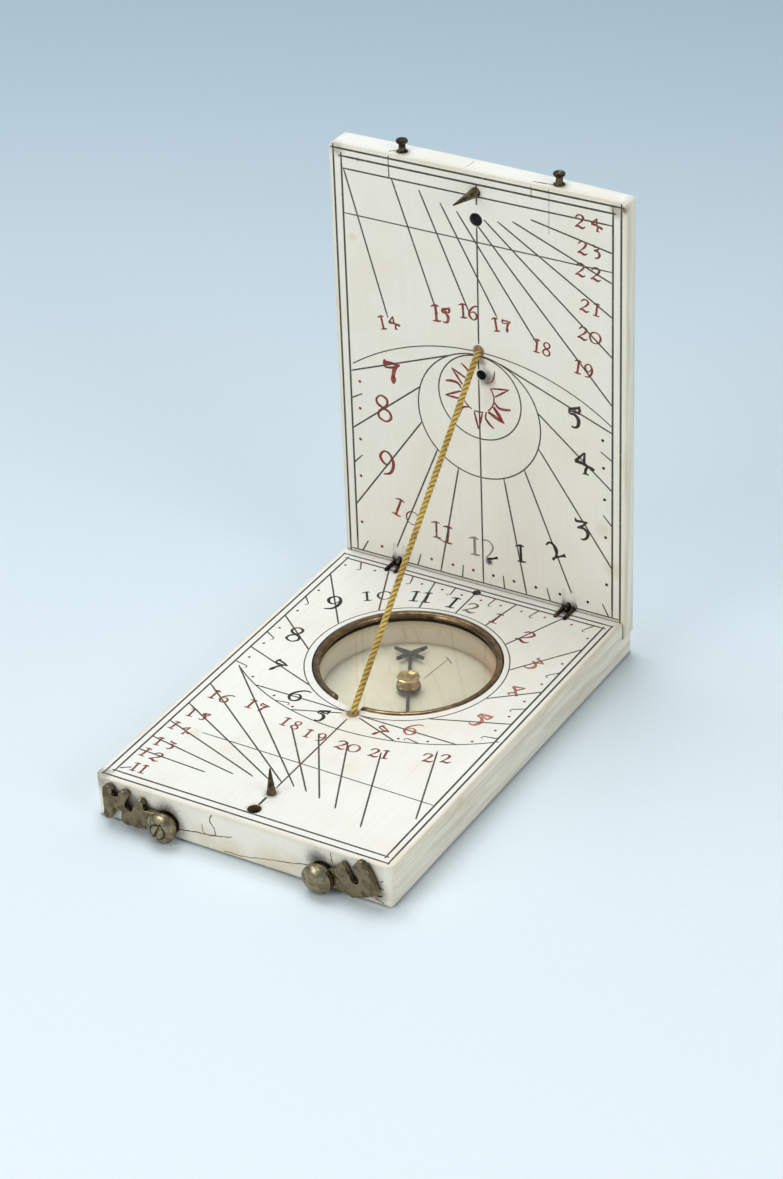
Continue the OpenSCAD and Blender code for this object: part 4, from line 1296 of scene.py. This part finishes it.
def worn_copy(node, name, seed):
    """A copy of a CAD node with its edges rounded by wear. Its body has the node's name."""
    mesh = nodes[node].data.copy()
    mesh.name = name
    mesh.transform(Matrix.Scale(1 / mm, 4))
    thing = link(name, mesh)
    remesh = thing.modifiers.new("grid", "REMESH")
    remesh.mode = "VOXEL"
    remesh.voxel_size = wear_grid
    smooth = thing.modifiers.new("wear", "SMOOTH")
    smooth.factor = 0.5
    smooth.iterations = wear_passes
    made = bpy.data.meshes.new_from_object(
        thing.evaluated_get(bpy.context.evaluated_depsgraph_get()))
    made.name = name
    thing.modifiers.clear()
    thing.data = made
    bpy.data.meshes.remove(mesh)
    shift = Vector((seed * 7.1, 0, 0))
    normals = [v.normal.copy() for v in made.vertices]
    for vertex, normal in zip(made.vertices, normals):
        low = noise.noise(vertex.co * 1.1 + shift)
        fine = noise.noise(vertex.co * 3.3 + shift)
        vertex.co -= normal * wear_dent * max(0, 0.6 * low + 0.4 * fine + 0.25)
    made.transform(Matrix.Scale(mm, 4))
    made.materials.clear()
    made.materials.append(old_brass)
    made.polygons.foreach_set("use_smooth", [True] * len(made.polygons))
    stands_for(thing, node, node)
    print(name, len(made.polygons), "faces")


for seed, side in enumerate(("left", "right"), 1):
    worn_copy(side + "_hook", side + "_hook_worn", seed)

# %% [markdown]
# ## Compass glass and ring
#
# A thin round pane lies over the well, under a ring of bronze-coloured wire with a gap.
# The pane lets the lamps through to what lies below, so its shader turns clear for
# shadow rays. The ring is swept along its circle with rounded ends.

# %% Make the glass and the ring
glass, tree, shader, place = start("compass_pane", Roughness=0.05)
shader.inputs["Base Color"].default_value = rgb(253, 251, 246)
shader.inputs["IOR"].default_value = 1.45
shader.inputs["Specular IOR Level"].default_value = 0.2
shader.inputs["Transmission Weight"].default_value = 1.0
bump(tree, shader, clouds(tree, place, 0.12, 2), 0.04, 0.25)
for_lamps = add(tree, "ShaderNodeLightPath").outputs["Is Shadow Ray"]
clear = add(tree, "ShaderNodeBsdfTransparent", {"Color": rgb(250, 248, 242)})
choose(tree, for_lamps, shader, clear, "Material Output")
finish_node("compass_glass", glass)


def tube(name, path, radius_at, corners):
    """A closed round tube along a path, with its own radius at each point."""
    bm = bmesh.new()
    rings = []
    lean = None
    for i, point in enumerate(path):
        way = (path[min(i + 1, len(path) - 1)] - path[max(i - 1, 0)]).normalized()
        if lean is None:
            lean = way.orthogonal().normalized()
        lean = (lean - way * lean.dot(way)).normalized()
        other = way.cross(lean)
        radius = radius_at(i)
        rings.append([bm.verts.new(point + radius * (math.cos(math.tau * k / corners) * lean
                                                     + math.sin(math.tau * k / corners) * other))
                      for k in range(corners)])
    for a, b in zip(rings, rings[1:]):
        for k in range(corners):
            n = (k + 1) % corners
            bm.faces.new((a[k], a[n], b[n], b[k]))
    bm.faces.new(rings[0][::-1])
    bm.faces.new(rings[-1])
    mesh = bpy.data.meshes.new(name)
    bm.to_mesh(mesh)
    bm.free()
    mesh.polygons.foreach_set("use_smooth", [True] * len(mesh.polygons))
    return mesh


ring_r = 14.65
ring_wire = 1.26
ring_z = 6.98
ring_steps = 220
gap_middle, gap_half = -100, 9.5
ring_path = []
for i in range(ring_steps + 1):
    turn = math.radians(gap_middle + gap_half + (360 - 2 * gap_half) * i / ring_steps)
    wave = 0.03 * math.sin(5 * turn + 1) + 0.02 * math.sin(11 * turn)
    ring_path.append(Vector((compass_middle.x + (ring_r - 0.03 + wave * 0.6) * math.cos(turn),
                             compass_middle.y + (ring_r - 0.03 + wave * 0.6) * math.sin(turn),
                             ring_z)) * mm)


def ring_radius(i):
    """Wire of an even thickness, rounded off at its two ends."""
    from_end = min(i, ring_steps - i) * 0.39
    blunt = math.sqrt(max(0.04, 1 - max(0, 1 - from_end / 0.55) ** 2))
    return (ring_wire / 2 - 0.015 + 0.012 * math.sin(i * 0.7)) * blunt * mm


ring_mesh = tube("glass_ring_wire", ring_path, ring_radius, 20)
ring_mesh.materials.append(bronze)
stands_for(link("glass_ring_wire", ring_mesh), "glass_ring", "lower")
print("ring:", len(ring_mesh.polygons), "faces")

# %% [markdown]
# ## Needle cap and studs
#
# The cap in the middle of the needle and the two studs on the upper leaf look turned on a
# lathe. A profile spun round an axis gives them. The cap looks filed to eight faces, so
# it is spun with eight flat sides. It is made hollow for the point that it rides on.

# %% Turn the cap and the studs
def lathe(name, profile, foot, corners, flat, stuff, node, body):
    """A piece turned from a profile of (radius, height), in millimetres over its foot."""
    bm = bmesh.new()
    rings = []
    for radius, height in profile:
        if radius < 1e-6:
            rings.append([bm.verts.new((foot + Vector((0, 0, height))) * mm)])
            continue
        rings.append([bm.verts.new((foot + Vector((
            radius * math.cos(math.tau * (k + 0.5) / corners),
            radius * math.sin(math.tau * (k + 0.5) / corners), height))) * mm)
            for k in range(corners)])
    for a, b in zip(rings, rings[1:]):
        for k in range(corners):
            n = (k + 1) % corners
            bm.faces.new(list(dict.fromkeys([a[k % len(a)], a[n % len(a)], b[n % len(b)],
                                             b[k % len(b)]])))
    bmesh.ops.recalc_face_normals(bm, faces=bm.faces)
    if flat:
        bmesh.ops.bevel(bm, geom=[e for e in bm.edges if e.calc_face_angle(0) > 0.3],
                        offset=0.05 * mm, segments=2, affect="EDGES", profile=0.6)
    for f in bm.faces:
        f.smooth = not flat
    for e in bm.edges:
        e.smooth = e.calc_face_angle(0) < sharp_angle
    mesh = bpy.data.meshes.new(name)
    bm.to_mesh(mesh)
    bm.free()
    mesh.materials.append(stuff)
    stands_for(link(name, mesh), node, body)


cap_foot = Vector((*well_axis[:2], 2.55))
cap_profile = [(0, 1.35), (0.7, 0), (1.85, 0), (1.98, 0.15), (1.96, 0.45), (1.74, 0.95),
               (1.6, 1.3), (1.9, 1.52), (1.96, 1.66), (1.66, 1.74), (1.0, 1.6), (0, 1.66)]
lathe("needle_cap_filed", cap_profile, cap_foot, 8, True, cap_brass,
      "needle_cap", "needle")
stud_profile = [(0, -2.8), (0.6, -2.8), (0.6, 0.03), (0.93, 0.03), (0.86, 0.12), (0.62, 0.28),
                (0.56, 0.7), (0.56, 1.3), (0.66, 1.45), (0.88, 1.5), (0.95, 1.58),
                (0.95, 1.86), (0.84, 2.0), (0.5, 2.06), (0.36, 1.98), (0.2, 2.04), (0, 2.08)]
for side, stud_x in (("left", left_x), ("right", right_x)):
    lathe(side + "_stud_turned", stud_profile, Vector((stud_x, 1.4, leaf_top)), 24, False,
          stud_brass, side + "_catch_stud", "upper")

needle_mesh = nodes["compass_needle"].data.copy()
boss_r = 2.3
filed_r = 1.98
boss_margin = 0.08
for v in needle_mesh.vertices:
    out = Vector((v.co.x / mm - cap_foot.x, v.co.y / mm - cap_foot.y))
    if abs(out.length - boss_r) < boss_margin:
        out *= (filed_r - out.length) / out.length * mm
        v.co += Vector((out.x, out.y, 0))
needle_mesh.materials.clear()
needle_mesh.materials.append(needle_iron)
stands_for(link("compass_needle_filed", needle_mesh), "compass_needle", "needle")
print("cap and studs turned, needle filed")

# %% [markdown]
# ## The gnomon cord
#
# The cord is the edge that throws the shadow. It comes up out of the lower hole, runs straight to
# the upper hole and goes in. It is gold coloured and twisted, so three thin tubes wind round the
# cord's line. That there are three strands is a guess. The cord is shaped for the open dial and
# rides on neither leaf.

# %% Twist the cord
cord_d = 1.1
cord_end = 2.4
cord_bend = 1.3
play = 0.05
hole_d = 2.0
cord_y = -cord_front + hole_d / 2 - cord_d / 2 - play
cord_z = dial_top + cord_rise - (hole_d / 2 - cord_d / 2 - play)
low_centre = Vector((cord_y + cord_bend, dial_top))
high_centre = Vector((0, cord_z - cord_bend))
slope = math.atan2(high_centre.y - low_centre.y, high_centre.x - low_centre.x)


def on_turn(centre, angle):
    """A point on the round bend over a hole's rim."""
    return centre + cord_bend * Vector((math.cos(angle), math.sin(angle)))


corner_path = [Vector((cord_y, dial_top - cord_end))]
corner_path += [on_turn(low_centre, math.pi - i * (math.pi / 2 - slope) / 8) for i in range(9)]
corner_path += [on_turn(high_centre, math.pi / 2 + slope - i * slope / 8) for i in range(9)]
corner_path += [Vector((cord_end, cord_z))]


def even_steps(points, step):
    """The same line with a point at every step."""
    made = [points[0]]
    for a, b in zip(points, points[1:]):
        parts = max(1, round((b - a).length / step))
        made += [a.lerp(b, (i + 1) / parts) for i in range(parts)]
    return made


cord_step = 0.16
cord_line = [Vector((cord_x, p.x, p.y)) for p in even_steps(corner_path, cord_step)]
strands = 3
strand_corners = 9
lay_length = 2.6
strand_r = 0.27
strand_out = 0.275
cord_bm = bmesh.new()
# How deep each point lies in the twist, used for painted shade in the grooves.
groove_depth = []
for s in range(strands):
    travel = 0.0
    centres = []
    for i, point in enumerate(cord_line):
        if i:
            travel += (point - cord_line[i - 1]).length
        way = (cord_line[min(i + 1, len(cord_line) - 1)] - cord_line[max(i - 1, 0)]).normalized()
        side = Vector((1, 0, 0))
        other = way.cross(side).normalized()
        turn = math.tau * (travel / lay_length + s / strands)
        centres.append((point + strand_out * (math.cos(turn) * side
                                              + math.sin(turn) * other)) * mm)
    strand = tube("strand", centres, lambda i: strand_r * mm, strand_corners)
    for v in strand.vertices:
        point = cord_line[min(v.index // strand_corners, len(cord_line) - 1)]
        groove_depth.append(1 - (v.co / mm - point).length / (strand_out + strand_r))
    cord_bm.from_mesh(strand)
    bpy.data.meshes.remove(strand)
cord_mesh = bpy.data.meshes.new("gnomon_cord_twisted")
cord_bm.to_mesh(cord_mesh)
cord_bm.free()
for polygon in cord_mesh.polygons:
    polygon.use_smooth = True
cord_mesh.attributes.new("groove", "FLOAT", "POINT").data.foreach_set("value", groove_depth)

cord_stuff, tree, shader, place = start("gold_cord", Roughness=0.55)
dust = clouds(tree, place, 1.8, 4, 0.7)
tone = clouds(tree, place, 0.25, 2)
gold = mix_rgb(tree, between(tree, tone, 0.3, 0.7), rgb(220, 184, 84), rgb(190, 152, 62))
gold = mix_rgb(tree, between(tree, dust, 0.54, 0.68, 0, 0.8), gold, rgb(92, 70, 34))
groove = add(tree, "ShaderNodeAttribute", attribute_name="groove").outputs["Fac"]
# Darker deep in the grooves between strands: painted shade.
gold = mix_rgb(tree, between(tree, groove, 0.05, 0.30, 0, 0.9), gold, rgb(66, 46, 20))
tree.links.new(gold, shader.inputs["Base Color"])
shader.inputs["Sheen Weight"].default_value = 0.25
bump(tree, shader, clouds(tree, stretch(tree, place, (3, 3, 3)), 2.0, 2), 0.05, 0.5)
cord_mesh.materials.append(cord_stuff)
cord = link("gnomon_cord_twisted", cord_mesh)
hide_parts("gnomon_cord")
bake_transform(cord)

# %% [markdown]
# ## Wedges
#
# How the cord's ends are held isn't seen. Here a little wedge, taken as horn, is pushed
# into each hole, which is a guess. Only the wedges' ends show, so they keep their CAD
# shape and get a streaky finish.

# %% Finish the wedges
horn, tree, shader, place = start("wedge_horn", Roughness=0.45)
streaks = clouds(tree, stretch(tree, place, (2.5, 2.5, 0.4)), 1.0, 4, 0.7)
tree.links.new(mix_rgb(tree, between(tree, streaks, 0.35, 0.7), rgb(168, 132, 96),
                       rgb(96, 66, 44)), shader.inputs["Base Color"])
bump(tree, shader, streaks, 0.03, 0.5)
finish_node("lower_cord_wedge", horn)
finish_node("upper_cord_wedge", horn)
print("wedges done")
